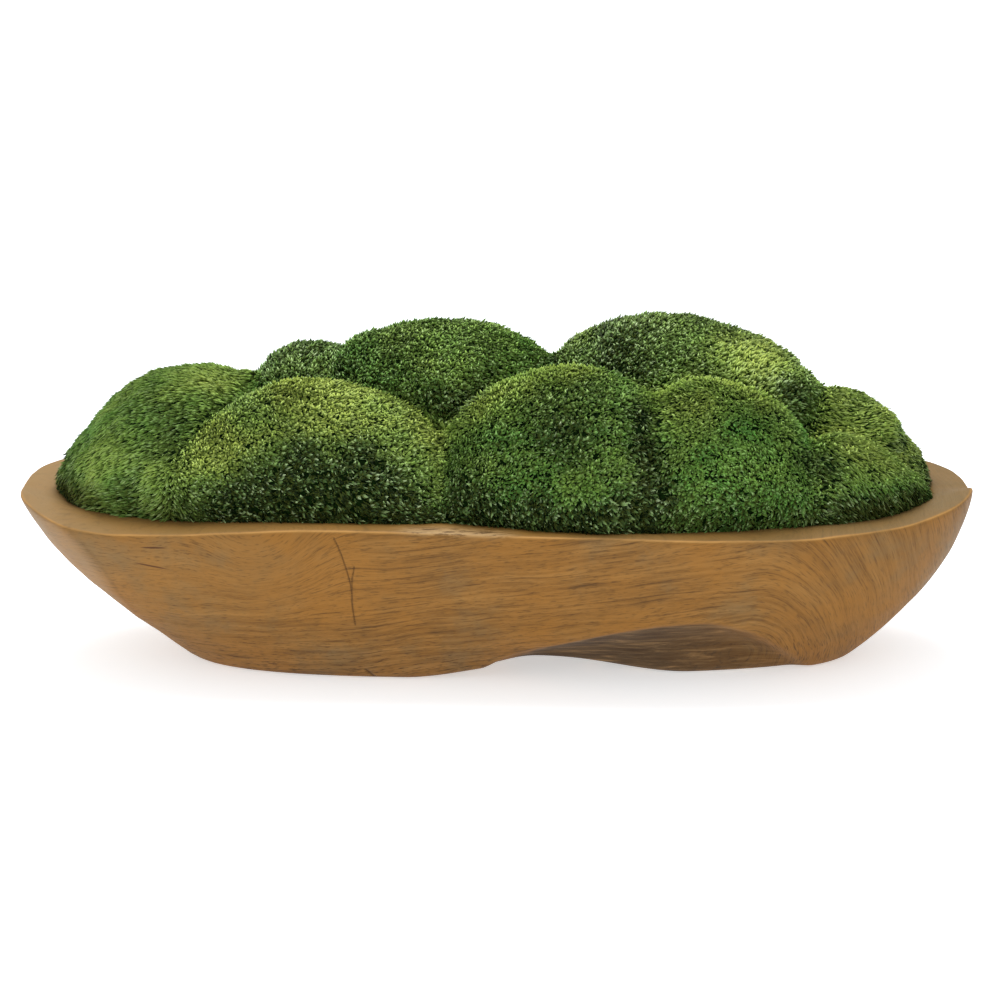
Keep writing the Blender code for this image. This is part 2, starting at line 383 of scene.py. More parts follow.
def rim_line(x, y):
    """How far the rim stands above or below its level: a soft wave in front, raised ends behind."""
    line_x, line_z = np.array(RIM_LINE).T * MM
    places = np.arange(line_x[0] - RIM_LINE_MARGIN, line_x[-1] + RIM_LINE_MARGIN, RIM_LINE_STEP)
    blur = np.hanning(RIM_LINE_BLUR)
    wave = np.convolve(np.interp(places, line_x, line_z), blur / blur.sum(), mode="same")
    front = ease(-y / RIM_FRONT_FADE)
    lift = np.where(x < 0, BACK_LIFT_LEFT, BACK_LIFT_RIGHT)
    ends = lift * ease((abs(x) - BACK_LIFT_FROM) / BACK_LIFT_RUN)
    return np.interp(x, places, wave) * front + ends * (1 - front)


def outer_ring(turns, share, height, inset=0.0):
    """A ring of points on the outer wall, as an array of x, y and z."""
    left = flare(share, FOOT_LEFT, HALF_LENGTH, FLARE_LEFT) - inset
    right = flare(share, FOOT_RIGHT, HALF_LENGTH, FLARE_RIGHT) - inset
    half_width = flare(share, FOOT_HALF_WIDTH, HALF_WIDTH, FLARE_SIDE) - inset
    power = FOOT_POWER + (RIM_POWER - FOOT_POWER) * share
    x, y = oval(turns, left, right, half_width, power, WAIST * share)
    z = height + RIM_WAVE * height / RIM_HEIGHT * waist_share(x)
    z += rim_line(x, y) * (height / RIM_HEIGHT) ** 2
    return carve(np.stack([x, y, z], axis=1))


def mouth_notch(x):
    """How far the rough place in the front of the rim reaches into the mouth."""
    return MOUTH_NOTCH * np.exp(-((x - NOTCH_X) / NOTCH_REACH) ** 2)


def mouth_power(x):
    """How blunt the mouth's oval is on the side that x is on."""
    return np.where(x < 0, MOUTH_POWER_LEFT, MOUTH_POWER_RIGHT)


def hollow_ring(turns, height, inset=0.0):
    """A ring of points on the wall of the hollow."""
    share = (height - HOLLOW_FLOOR) / (RIM_HEIGHT - HOLLOW_FLOOR)
    left = flare(share, FLOOR_LEFT, MOUTH_LEFT, HOLLOW_FLARE) - inset
    right = flare(share, FLOOR_RIGHT, MOUTH_RIGHT, HOLLOW_FLARE) - inset
    half_width = flare(share, FLOOR_HALF_WIDTH, MOUTH_HALF_WIDTH, HOLLOW_FLARE) - inset
    power = RIM_POWER + (mouth_power(np.cos(turns)) - RIM_POWER) * share
    x, y = oval(turns, left, right, half_width, power, WAIST)
    y = np.where(y < 0, y + mouth_notch(x) * share * ease(-y / half_width * 2), y)
    lift = np.clip((height - FOAM_TOP) / (RIM_HEIGHT - FOAM_TOP), 0, 1)
    return np.stack([x, y, height + lift * rim_rise(x, y)], axis=1)


def rim_rise(x, y):
    """How far the mouth's edge stands above the rim's level."""
    return RIM_WAVE * waist_share(x) + np.maximum(rim_line(x, y), 0)


def arch_height(x):
    """How high the arch between the two feet stands at x."""
    return ARCH_RISE * (1 - ease(abs(x - ARCH_X) / np.where(x > ARCH_X, ARCH_RIGHT, ARCH_LEFT)))


def scoop_share(points):
    """How deep in the scoop under the front each point lies, and how weathered its wood is."""
    x, y, z = points.T
    reach = np.where(x > SCOOP_X, SCOOP_RIGHT, SCOOP_LEFT)
    below = SCOOP_RISE * (1 - ((x - SCOOP_X) / reach) ** 2) - z
    lip = SCOOP_LIP * (1 + SCOOP_FADE * ease((x - SCOOP_X) / SCOOP_RIGHT))
    depth = LIP_SHARE * ease(below / lip) + (1 - LIP_SHARE) * ease(below / SCOOP_EDGE)
    return np.where(y < 0, depth, 0), np.where(y < 0, ease(below / lip), 0)


def carve(points):
    """Pushes in the scoop under the front and lifts the arch under the foot."""
    depth, _ = scoop_share(points)
    x, y, z = points.T
    fade = 1 - ease(z / ARCH_FADE)
    shallow = SCOOP_SHALLOW * ease((x - SHALLOW_FROM) / SHALLOW_RUN) * (1 - ease(z / SHALLOW_HEIGHT))
    return np.stack([x, y + SCOOP_DEPTH * depth * (1 - shallow), z + arch_height(x) * fade], axis=1)


def shrink(ring, count, height):
    """Rows from a ring's middle out to the ring, each at the height that a rule gives it."""
    rows = []
    for share in np.linspace(0, 1, count + 1)[:-1]:
        x, y = ring[:, 0] * share, ring[:, 1] * share
        rows.append(np.stack([x, y, height(x)], axis=1))
    return rows


def trough_rows():
    """The trough's surface, row by row from under its foot, over its rim, to its floor."""
    turns = spoke_turns()
    foot = []
    for a in np.linspace(0, math.pi / 2, FOOT_ROWS + 1):
        share = FOOT_SHARE * (1 - math.cos(a))
        foot.append(outer_ring(turns, share, share * RIM_HEIGHT, FOOT_ROUND * (1 - math.sin(a))))
    rows = shrink(foot[0], UNDER_ROWS, arch_height) + foot
    for share in np.linspace(FOOT_SHARE, 1, WALL_ROWS + 1)[1:]:
        sunk = RIM_ROUND * ease((share - RIM_ROUND_FROM) / (1 - RIM_ROUND_FROM))
        rows.append(outer_ring(turns, share, share * RIM_HEIGHT - sunk))
    for a in np.linspace(0, math.pi / 2, EDGE_ROWS + 1)[1:]:
        height = RIM_HEIGHT - RIM_ROUND * (1 - math.sin(a))
        rows.append(outer_ring(turns, 1, height, RIM_ROUND * (1 - math.cos(a))))

    outer, mouth = rows[-1], hollow_ring(turns, RIM_HEIGHT - RIM_DROP, -MOUTH_ROUND)
    for share in np.linspace(0, 1, RIM_ROWS + 1)[1:]:
        crown = np.array([0, 0, RIM_CROWN * math.sin(math.pi * share)])
        rows.append(outer + (mouth - outer) * share + crown)
    for a in np.linspace(0, math.pi / 2, EDGE_ROWS // 2 + 1)[1:]:
        sunk = MOUTH_ROUND * (1 - math.cos(a))
        rows.append(hollow_ring(turns, RIM_HEIGHT - RIM_DROP - sunk, -MOUTH_ROUND * (1 - math.sin(a))))
    levels = np.linspace(RIM_HEIGHT - RIM_DROP - MOUTH_ROUND, HOLLOW_FLOOR, HOLLOW_ROWS + 1)[1:]
    rows += [hollow_ring(turns, level) for level in levels]
    rows += shrink(rows[-1], FLOOR_ROWS, lambda x: np.full_like(x, HOLLOW_FLOOR))[::-1]
    return rows


def along_line(points, line):
    """How far each point of the front is to the right of a line of (x, z) points in
    millimetres, and whether it is between the line's ends."""
    x, y, z = points.T
    line_x, line_z = np.array(line).T * MM
    beside = x - np.interp(z, line_z, line_x)
    return beside, (y < 0) & (z > line_z[0]) & (z < line_z[-1])


def carve_marks(points):
    """Raises the ridge at the left of the front and cuts the cracks; returns what the teak
    shows there: the inside of the scoop, the left end's wall, paler partly with painted light, and
    the cracks and the ridge's foot, dark with painted shade."""
    beside, _ = along_line(points, RIDGE)
    on_wall = ease(points[:, 2] / RIDGE_FADE)
    lift = RIDGE_HEIGHT * np.exp(-abs(beside) / RIDGE_REACH) * on_wall * (points[:, 1] < 0)
    points[:, 1] -= lift
    points[:, 0] -= lift * RIDGE_LEAN
    end_wall = ease(-beside / END_WALL_BLEND) * (points[:, 0] < END_WALL_FROM)

    cracked = np.zeros(len(points))
    for line, width in CRACKS:
        beside, inside = along_line(points, line)
        cracked = np.maximum(cracked, np.exp(-(beside / width) ** 2) * inside)
    points[:, 1] += CRACK_DEPTH * cracked
    beside, inside = along_line(points, RIDGE)
    cracked = np.maximum(cracked, RIDGE_SHADE * np.exp(-(beside / RIDGE_WIDTH) ** 2) * inside)
    _, scooped = scoop_share(points)
    return scooped, end_wall, cracked


def model_trough(settings):
    """The carved trough as one closed net, bent from a flat grid into its rows."""
    rows = np.array(trough_rows())
    count = len(rows) - 1
    bpy.ops.object.select_all(action="DESELECT")
    bpy.ops.mesh.primitive_grid_add(x_subdivisions=SPOKES, y_subdivisions=count, size=1)
    trough = bpy.context.object
    trough.name = "carved_teak_trough"
    flat = read_corners(trough.data, "co")
    spoke = np.rint((flat[:, 0] + 0.5) * SPOKES).astype(int)
    row = np.rint((flat[:, 1] + 0.5) * count).astype(int)
    points = rows[row, spoke]

    wall = (row > UNDER_ROWS + FOOT_ROWS) & (row < count - HOLLOW_ROWS)
    carved = carve_marks(points)
    past_wall = row - (UNDER_ROWS + FOOT_ROWS + WALL_ROWS)
    # A painted highlight along the rim's rounded, worn edge
    edge = np.exp(-((past_wall - EDGE_HIGHLIGHT_ROW) / EDGE_HIGHLIGHT_SPREAD) ** 2)
    rim = ease(past_wall / EDGE_ROWS)
    bark = ease((points[:, 0] - BARK_FROM) / BARK_FADE) * ease((BARK_TO - points[:, 0]) / BARK_FADE)
    bark = bark * (points[:, 1] < 0) * np.exp(-((past_wall - BARK_ROW) / BARK_SPREAD) ** 2)

    write_marks(trough.data, TROUGH_MARKS, (*carved, edge, rim, bark))
    worked = trough.vertex_groups.new(name="worked")
    worked.add(np.flatnonzero(wall).tolist(), 1.0, "REPLACE")
    move_corners(trough.data, points)
    edit_all(trough, bpy.ops.mesh.remove_doubles, threshold=MERGE)
    edit_all(trough, bpy.ops.mesh.normals_make_consistent, inside=False)
    add_lumps(trough, "carving marks", settings.mark_size, settings.mark_depth, "worked")
    trough.data.shade_smooth()
    return trough


def carved_teak(settings):
    """Teak, carved from one block, sanded and left dry: silky and matte, with fine growth
    lines, short dark pores, golden and greyer patches, grey wood where it is weathered, a painted
    highlight along the rim's worn edge, painted shade in the cracks and painted light on the left end."""
    material, tree = start_material("teak, carved and sanded, with painted highlight and shade")
    place = add_node(tree, "TexCoord").outputs["Object"]
    scooped, end_wall, cracked, edge, rim, bark = (
        add_node(tree, "Attribute", attribute_name=name).outputs["Fac"] for name in TROUGH_MARKS)

    # The block's slow waves bend the growth lines
    wave = add_node(tree, "TexNoise", (place, GRAIN_WAVES, 2.0, 0.5))
    centred = add_node(tree, "VectorMath", (wave.outputs["Color"], (0.5, 0.5, 0.5)), operation="SUBTRACT")
    bent = add_node(tree, "VectorMath", (centred, (settings.grain_wave,) * 3, place),
                    operation="MULTIPLY_ADD")
    x, y, z = add_node(tree, "SeparateXYZ", (bent,)).outputs

    # Growth rings, which turn down sharply past the end of their axis
    risen = add_node(tree, "Math", (x, RING_SLOPE, z), operation="MULTIPLY_ADD")
    above = add_node(tree, "Math", (risen, RING_LIFT), operation="ADD")
    past = add_node(tree, "MapRange", (x, AXIS_END, RINGS_END, 0.0, RINGS_CLOSE))
    deep = add_node(tree, "Math", (y, RING_DEPTH), operation="MULTIPLY")
    cross = add_node(tree, "CombineXYZ", (past, deep, above))
    ring = add_node(tree, "VectorMath", (cross,), operation="LENGTH")

    # The knot figure at the upper left
    to_knot = add_node(tree, "VectorMath", (place, KNOT), operation="DISTANCE")
    near_knot = add_node(tree, "MapRange", (to_knot, 0.0, KNOT_REACH, KNOT_LIFT, 0.0),
                         interpolation_type="SMOOTHSTEP")
    radius = add_node(tree, "Math", (ring, near_knot), operation="ADD")

    # Streaks a few centimetres long, wider bands, and fine pores
    along = add_node(tree, "CombineXYZ", (x, y, radius))
    figures = []
    for run, gap, detail in ((STREAK_RUN, settings.line_gap, 4.0), (BAND_RUN, settings.band_gap, 2.0),
                             (PORE_RUN, settings.pore_gap, 2.0)):
        scaled = add_node(tree, "VectorMath", (along, (1 / run, 1 / run, 1 / gap)), operation="MULTIPLY")
        figures.append(add_node(tree, "TexNoise", (scaled, 1.0, detail, 0.62)))
    streaks, bands, pores = figures
    mixed = add_node(tree, "Mix", (0.4, streaks, bands))

    # Both ends of the block and the knot are plainer, without much figure
    knotty = add_node(tree, "MapRange", (to_knot, 0.015, 0.050, 0.15, 1.0))
    left = add_node(tree, "MapRange", (x, -0.27, -0.13, 0.25, knotty))
    right = add_node(tree, "MapRange", (x, 0.20, 0.32, 1.0, 0.3))
    figured = add_node(tree, "Math", (left, right), operation="MULTIPLY")
    plain = add_node(tree, "MapRange", (x, -0.25, 0.25, 0.56, 0.49))
    figure = add_node(tree, "Mix", (figured, plain, mixed))
    heart = add_node(tree, "ValToRGB", (figure,), stops=(
        (0.33, settings.line_hex), (0.64, settings.pale_hex), (0.47, settings.heart_hex)))
    patches = add_node(tree, "TexNoise", (place, TEAK_PATCHES, 6.0, 0.65))
    gilt = add_node(tree, "MapRange", (patches, 0.45, 0.62, 0.0, 0.7))
    golden = add_node(tree, "Mix", (gilt, heart, settings.gold_hex), data_type="RGBA")
    dull = add_node(tree, "MapRange", (patches, 0.47, 0.32, 0.0, 0.7))
    dulled = add_node(tree, "Mix", (dull, golden, settings.grey_hex), data_type="RGBA")

    # Growth lines, thin and dark, which wander a little and fade after a few centimetres
    turns = add_node(tree, "Math", (radius, 1 / settings.line_gap), operation="MULTIPLY")
    wandering = add_node(tree, "Math", (bands, 5.0, turns), operation="MULTIPLY_ADD")
    from_line = add_node(tree, "Math", (wandering, 1.0), operation="PINGPONG")
    thin = add_node(tree, "MapRange", (from_line, 0.30, 0.0, 0.0, 1.0))
    shown = add_node(tree, "MapRange", (streaks, 0.55, 0.38, 0.0, 0.62))
    broken = add_node(tree, "Math", (thin, shown), operation="MULTIPLY")
    line_share = add_node(tree, "Math", (broken, figured), operation="MULTIPLY")
    lined = add_node(tree, "Mix", (line_share, dulled, settings.pore_hex), data_type="RGBA")

    # Pores, the more open the lower down
    low = add_node(tree, "MapRange", (z, 0.045, 0.010, 0.5, 0.9))
    pore_share = add_node(tree, "MapRange", (pores, 0.46, 0.32, 0.0, low))
    porous = add_node(tree, "Mix", (pore_share, lined, settings.pore_hex), data_type="RGBA")

    # Places of their own: the paler left end, partly weathered grey and partly painted light where it faces
    # the front light, the rim, the scoop with its long grey fibres
    end_share = add_node(tree, "Math", (end_wall, 0.35), operation="MULTIPLY")
    ended = add_node(tree, "Mix", (end_share, porous, settings.end_hex), data_type="RGBA")
    rim_share = add_node(tree, "Math", (rim, 0.65), operation="MULTIPLY")
    along_rim = add_node(tree, "MapRange", (x, -HALF_LENGTH, HALF_LENGTH))
    greying = add_node(tree, "ValToRGB", (along_rim,), stops=(
        (0.10, settings.rim_left_hex), (0.92, settings.rim_right_hex), (0.45, settings.rim_hex)))
    rimmed = add_node(tree, "Mix", (rim_share, ended, greying), data_type="RGBA")
    stretched = add_node(tree, "VectorMath", (bent, SCOOP_FIBRES), operation="MULTIPLY")
    fibres = add_node(tree, "TexNoise", {"Vector": stretched, "Scale": 1.0, "Detail": 6.0,
                                         "Roughness": 0.7, "Distortion": 0.5})
    weathered = add_node(tree, "ValToRGB", (fibres,), stops=(
        (0.33, settings.hollow_hex), (0.68, settings.bleached_hex), (0.52, settings.weathered_hex)))
    greyer = add_node(tree, "MapRange", (x, 0.13, 0.23, 0.95, 0.45))
    grey_share = add_node(tree, "Math", (scooped, greyer), operation="MULTIPLY")
    greyed = add_node(tree, "Mix", (grey_share, rimmed, weathered), data_type="RGBA")

    # A painted highlight along the rim's rounded, worn edge, and the crumbling pale patch of the rim
    worn = add_node(tree, "MapRange", (patches, 0.35, 0.60, 0.25, 1.0))
    edge_highlight_share = add_node(tree, "Math", (edge, worn), operation="MULTIPLY")
    edge_highlighted = add_node(tree, "Mix", (edge_highlight_share, greyed, settings.worn_edge_highlight_hex), data_type="RGBA")
    crumbly = add_node(tree, "VectorMath", (place, RIM_CRUMBS), operation="MULTIPLY")
    crumbs = add_node(tree, "TexNoise", (crumbly, 1.0, 5.0, 0.7))
    crumbled = add_node(tree, "ValToRGB", (crumbs,), stops=(
        (0.40, settings.pore_hex), (0.52, settings.bark_hex)))
    barked = add_node(tree, "Mix", (bark, edge_highlighted, crumbled), data_type="RGBA")

    # The cracks, dark with painted shade inside them and along the ridge, and two short resin slits at the
    # left of the front
    crack_shade_share = add_node(tree, "Math", (cracked, 0.7), operation="MULTIPLY")
    colour = add_node(tree, "Mix", (crack_shade_share, barked, settings.crack_shade_hex), data_type="RGBA")
    front = add_node(tree, "Math", (y, 0.0), operation="LESS_THAN")
    for middle, height, half_length, slope in RESIN_SLITS:
        turned_in = add_node(tree, "Mapping", (
            place, (middle * MM, 0, height * MM), (0, -math.atan(slope), 0),
            (half_length * MM, 1, SLIT_HEIGHT)), vector_type="TEXTURE")
        flat = add_node(tree, "VectorMath", (turned_in, (1, 0, 1)), operation="MULTIPLY")
        ragged = add_node(tree, "VectorMath", (patches.outputs["Color"], (0, 0, 2), flat),
                          operation="MULTIPLY_ADD")
        away = add_node(tree, "VectorMath", (ragged, (0, 0, 1)), operation="DISTANCE")
        dark = add_node(tree, "MapRange", (away, 1.0, 0.6, 0.0, 0.85))
        slit = add_node(tree, "Math", (dark, front), operation="MULTIPLY")
        colour = add_node(tree, "Mix", (slit, colour, settings.resin_hex), data_type="RGBA")

    # Relief: lines and pores are open by tenths of a millimetre, and deeper in the scoop
    depth = add_node(tree, "MapRange", (scooped, 0.0, 1.0, 0.3, 1.0))
    grain = add_node(tree, "Math", (streaks, pores), operation="ADD")
    relief = add_node(tree, "Mix", (scooped, grain, fibres))
    opened = add_node(tree, "Bump", {"Strength": depth, "Distance": settings.grain_depth, "Height": relief})
    rough = add_node(tree, "MapRange", (streaks, 0.0, 1.0, 0.70, 0.52))
    shader = add_node(tree, "BsdfPrincipled", {"Base Color": colour, "Roughness": rough, "IOR": 1.45,
                                               "Specular IOR Level": 0.22, "Normal": opened})
    add_node(tree, "OutputMaterial", {"Surface": shader})
    return material


class TroughSettings(bpy.types.PropertyGroup):
    """Sizes and colours of the carved trough."""

    mark_size: FloatProperty(
        name="Carving mark size", description="Width of the shallow marks that carving and sanding left",
        default=32 * MM, min=5 * MM, unit="LENGTH")
    mark_depth: FloatProperty(
        name="Carving mark depth", description="How far the marks rise and fall",
        default=1.3 * MM, min=0, unit="LENGTH")
    line_gap: FloatProperty(
        name="Growth line gap", description="Half the distance between the growth lines",
        default=2.4 * MM, min=MM, unit="LENGTH")
    band_gap: FloatProperty(
        name="Band gap", description="Distance between the lighter and darker bands",
        default=10 * MM, min=MM, unit="LENGTH")
    pore_gap: FloatProperty(
        name="Pore gap", description="Distance between the dark pores, coarser than life so that they show",
        default=0.9 * MM, min=0.2 * MM, unit="LENGTH")
    grain_wave: FloatProperty(
        name="Grain wave", description="How far slow waves bend the growth lines",
        default=28 * MM, min=0, unit="LENGTH")
    grain_depth: FloatProperty(
        name="Grain depth", description="How deep the open grain is", default=0.6 * MM, min=0, unit="LENGTH")
    heart_hex: StringProperty(name="Heartwood", description="Main colour of the teak", default="#7C5626")
    pale_hex: StringProperty(name="Pale wood", description="Teak between its streaks", default="#946B35")
    line_hex: StringProperty(name="Dark streaks", description="Teak in its streaks", default="#5A3D1A")
    gold_hex: StringProperty(name="Golden wood", description="Warmer patches", default="#926224")
    grey_hex: StringProperty(name="Greyer wood", description="Duller patches", default="#745D3B")
    pore_hex: StringProperty(name="Pores", description="Growth lines and short pores", default="#3C2610")
    # The left end is paler partly as weathered grey wood and partly as painted light where it faces the front
    # light
    end_hex: StringProperty(name="Left end", description="Paler wall of the left end", default="#9A8163")
    rim_hex: StringProperty(name="Rim", description="Top of the rim", default="#83622B")
    rim_left_hex: StringProperty(
        name="Rim, left end", description="Paler, greyer top of the rim at its left end", default="#816638")
    rim_right_hex: StringProperty(
        name="Rim, right end", description="Greyer top of the rim at its right end", default="#685834")
    hollow_hex: StringProperty(
        name="Scoop fibres", description="Dark fibres inside the scoop", default="#352211")
    weathered_hex: StringProperty(name="Weathered wood", description="Inside of the scoop", default="#57432C")
    bleached_hex: StringProperty(
        name="Bleached fibres", description="Pale fibres inside the scoop", default="#8F6E47")
    # The worn edge's pale line is a painted highlight where the rounded edge catches the light
    worn_edge_highlight_hex: StringProperty(name="Worn edge", description="Line along the rim's edge", default="#B98A4C")
    bark_hex: StringProperty(name="Rough rim", description="Rough patch of the rim", default="#A5865A")
    # The cracks' dark colour is painted shade inside them
    crack_shade_hex: StringProperty(name="Cracks", description="Inside of the cracks", default="#2A180B")
    resin_hex: StringProperty(name="Resin", description="Short slits filled with resin", default="#4A2A12")


class CENTERPIECE_OT_carve_trough(bpy.types.Operator):
    """Carve the teak trough"""

    bl_idname = "centerpiece.carve_trough"
    bl_label = "Carve Trough"

    def execute(self, context):
        settings = context.scene.centerpiece_trough
        trough = model_trough(settings)
        set_material(trough, carved_teak(settings))
        show_piece(trough, "teak_trough")
        return {"FINISHED"}


# The foam bed

TUCK_MARGIN = 2 * MM
TUCK_HEIGHT = 45 * MM
LEVEL = np.array([1, 1, 0])


def inside_mouth(points):
    """About how far each point is inside the mouth of the hollow, seen from above."""
    x, y = points[:, 0], points[:, 1]
    drawn_in = MOUTH_HALF_WIDTH * (1 - WAIST * waist_share(x)) - mouth_notch(x)
    half_width = np.where(y < 0, drawn_in, MOUTH_HALF_WIDTH)
    half_length, power = np.where(x < 0, MOUTH_LEFT, MOUTH_RIGHT), mouth_power(x)
    across, along = abs(x / half_length), abs(y / half_width)
    share = np.maximum((across ** power + along ** power) ** (1 / power), 1e-6)
    slope = np.hypot(across ** (power - 1) / half_length, along ** (power - 1) / half_width)
    return (1 - share) / np.maximum(slope * share ** (1 - power), 1 / HALF_LENGTH)


def above_rim(points):
    """How far each point is above the rim beside it."""
    x, y, z = points.T
    return z - (RIM_HEIGHT + rim_rise(x, y))


def tuck_in(mesh):
    """Draws in what is wider than the mouth, the less the higher it is above the rim."""
    points, normals = read_corners(mesh, "co"), read_corners(mesh, "normal")
    outside = np.maximum(TUCK_MARGIN - inside_mouth(points), 0)
    low = 1 - ease(above_rim(points) / TUCK_HEIGHT)
    move_corners(mesh, points - normals * LEVEL * (outside * low)[:, None])


def dry_foam(settings):
    """Dry floral foam, cut with a knife: a fine open crumb with painted shade in its pits, dull and without
    any gloss.
    """
    material, tree = start_material("floral foam, cut dry")
    place = add_node(tree, "TexCoord").outputs["Object"]
    crumb = add_node(tree, "TexNoise", (place, 1 / settings.crumb, 3.0))
    colour = add_node(tree, "ValToRGB", (crumb,), stops=(
        (0.35, settings.pit_shade_hex), (0.65, settings.foam_hex)))
    pits = add_node(tree, "Bump", {"Strength": 0.8, "Distance": settings.crumb, "Height": crumb})
    shader = add_node(tree, "BsdfPrincipled", {"Base Color": colour, "Roughness": 0.95,
                                               "Specular IOR Level": 0.2, "Normal": pits})
    add_node(tree, "OutputMaterial", {"Surface": shader})
    return material


class FoamSettings(bpy.types.PropertyGroup):
    """Sizes and colours of the foam bed."""

    face_size: FloatProperty(
        name="Face size", description="Size of the faces that the foam is cut into",
        default=9 * MM, min=2 * MM, unit="LENGTH")
    crumb: FloatProperty(
        name="Crumb", description="Size of the foam's open cells, coarser than life",
        default=1.5 * MM, min=0.2 * MM, unit="LENGTH")
    foam_hex: StringProperty(name="Foam", description="Colour of the cut foam", default="#5F6B4C")
    # The pits' colour is painted shade inside the foam's open cells
    pit_shade_hex: StringProperty(name="Pits", description="Colour inside its cells", default="#3B4431")


class CENTERPIECE_OT_cut_foam(bpy.types.Operator):
    """Cut the foam bed to the hollow"""

    bl_idname = "centerpiece.cut_foam"
    bl_label = "Cut Foam"

    def execute(self, context):
        settings = context.scene.centerpiece_foam
        foam = copy_of_node("foam_bed", "floral_foam_bed")
        blocks = foam.modifiers.new("blocks", "REMESH")
        blocks.mode = "VOXEL"
        blocks.voxel_size = settings.face_size
        apply_modifiers(foam)
        tuck_in(foam.data)
        foam.data.shade_smooth()
        set_material(foam, dry_foam(settings))
        show_piece(foam, "foam_bed")
        return {"FINISHED"}


# The moss

# For each clump: the way its shoots are combed, how warm and how aged its green is, how loosely
# and how unruly its shoots stand, how long its leaves are, and how far it spills over the rim
CLUMPS = {
    "moss_left_end": ((-1.0, -0.3, -0.1), 0.30, 0.46, 0.50, 0.15, 1.50, 9 * MM),
    "moss_front_left": ((1.0, -0.3, 0.15), 0.75, 0.50, 0.60, 0.60, 1.10, 7 * MM),
    "moss_back_left": ((0.6, 0.5, 0.4), 0.40, 1.00, 0.70, 1.00, 1.15, 5 * MM),
    "moss_back_center": ((0.8, -0.5, 0.2), 0.25, 0.62, 0.55, 0.80, 1.15, 5 * MM),
    "moss_front_center": ((0.5, -0.8, 0.0), 0.30, 0.50, 0.55, 1.00, 1.05, 10 * MM),
    "moss_back_right": ((0.7, 0.2, 0.5), 0.55, 0.85, 0.35, 0.60, 1.05, 5 * MM),
    "moss_front_right": ((-0.4, -0.8, 0.1), 0.30, -0.08, 0.50, 0.90, 1.10, 5 * MM),
    "moss_back_end_right": ((0.9, 0.2, -0.2), 0.80, 0.25, 0.45, 0.25, 1.45, 6 * MM),
    "moss_right_end": ((0.9, -0.5, -0.5), 0.30, 0.35, 0.60, 0.25, 1.45, 7 * MM),
}

# Where the shoots are thin and dark: x, y, z, radius and how bare
DARK_PATCHES = (
    (-0.104, -0.130, 0.168, 0.045, 1.0),
    (-0.150, -0.115, 0.165, 0.035, 0.7),
    (0.062, -0.142, 0.142, 0.022, 0.5),
    (-0.013, -0.040, 0.205, 0.030, 0.8),
    (-0.041, -0.036, 0.200, 0.022, 0.7),
    (0.116, -0.085, 0.212, 0.018, 0.9),
    (0.118, -0.105, 0.190, 0.020, 1.0),
    (0.122, -0.125, 0.165, 0.020, 1.0),
    (0.112, -0.138, 0.147, 0.018, 0.8),
    (0.250, -0.080, 0.175, 0.024, 0.8),
    (0.057, -0.085, 0.215, 0.040, 0.4),
    (0.114, 0.003, 0.245, 0.045, 0.3),
    (0.205, 0.015, 0.240, 0.050, 0.3),
    (0.235, 0.000, 0.215, 0.018, 0.6),
    (-0.250, -0.050, 0.205, 0.022, 0.4),
)

# Where the shoots are young and bright: x, y, z, radius and how fresh
FRESH_PATCHES = (
    (-0.045, -0.055, 0.190, 0.034, 1.0),
    (-0.018, -0.056, 0.212, 0.034, 1.0),
    (0.010, -0.056, 0.228, 0.034, 1.0),
    (0.045, -0.044, 0.241, 0.034, 1.0),
    (0.020, -0.148, 0.140, 0.020, 1.0),
    (0.205, 0.015, 0.240, 0.048, 1.0),
    (0.158, -0.055, 0.231, 0.046, 1.0),
    (0.190, -0.052, 0.226, 0.034, 1.0),
    (0.285, -0.045, 0.187, 0.042, 1.0),
    (-0.135, -0.055, 0.228, 0.050, 1.0),
    (-0.218, -0.085, 0.185, 0.030, 1.0),
    (0.060, -0.138, 0.165, 0.024, 1.0),
    (-0.230, 0.000, 0.225, 0.035, 1.0),
    (-0.295, -0.065, 0.150, 0.040, 1.0),
    (-0.250, -0.095, 0.148, 0.035, 1.0),
)

# Where the moss stands fuller than its packed domes: x, y, z, radius and how much
FULLER = (
    (-0.192, 0.020, 0.224, 0.021, 12 * MM),
    (-0.110, 0.030, 0.238, 0.036, 11 * MM),
    (0.046, 0.025, 0.236, 0.025, 11 * MM),
    (0.098, 0.020, 0.262, 0.034, 6 * MM),
    (-0.304, -0.010, 0.214, 0.035, -3.5 * MM),
    (0.068, 0.030, 0.254, 0.030, -10 * MM),
    (0.192, 0.012, 0.252, 0.080, -8 * MM),
    (0.259, 0.006, 0.214, 0.038, 17 * MM),
    (0.312, 0.000, 0.188, 0.028, 9 * MM),
    (-0.246, -0.092, 0.165, 0.045, 9 * MM),
)

# Two sorts of shoot, each modelled a few times. In degrees: how wide the leaves fan out, and how
# steep the flattest and the steepest leaf are
OPEN_SHOOT = (180, 8, 70)
COMBED_SHOOT = (22, 6, 45)
SHOOTS_OF_A_SORT = 3

GOLDEN_TURN = 0.618

MOSS_SEED = 11
SPILL_REACH = 22 * MM
SPILL_BELOW = 8 * MM
SPILL_RISE = 5 * MM
SPILL_UNEVEN = 0.9
SEAM_REACH = 9 * MM
PATCH_CORE = 0.3
SLOPE_REACH = 75 * MM
COMB_SAG = (0, 0, -0.25)
LOWEST_SHOOT = FOAM_TOP + 5 * MM
STEEPEST = -0.6
CREASE_FACING = 0.2
LEAF_BELLY = 0.45
LEAF_RADIUS = 1 / math.sqrt(3)
FELT_DEPTH = 2 * MM


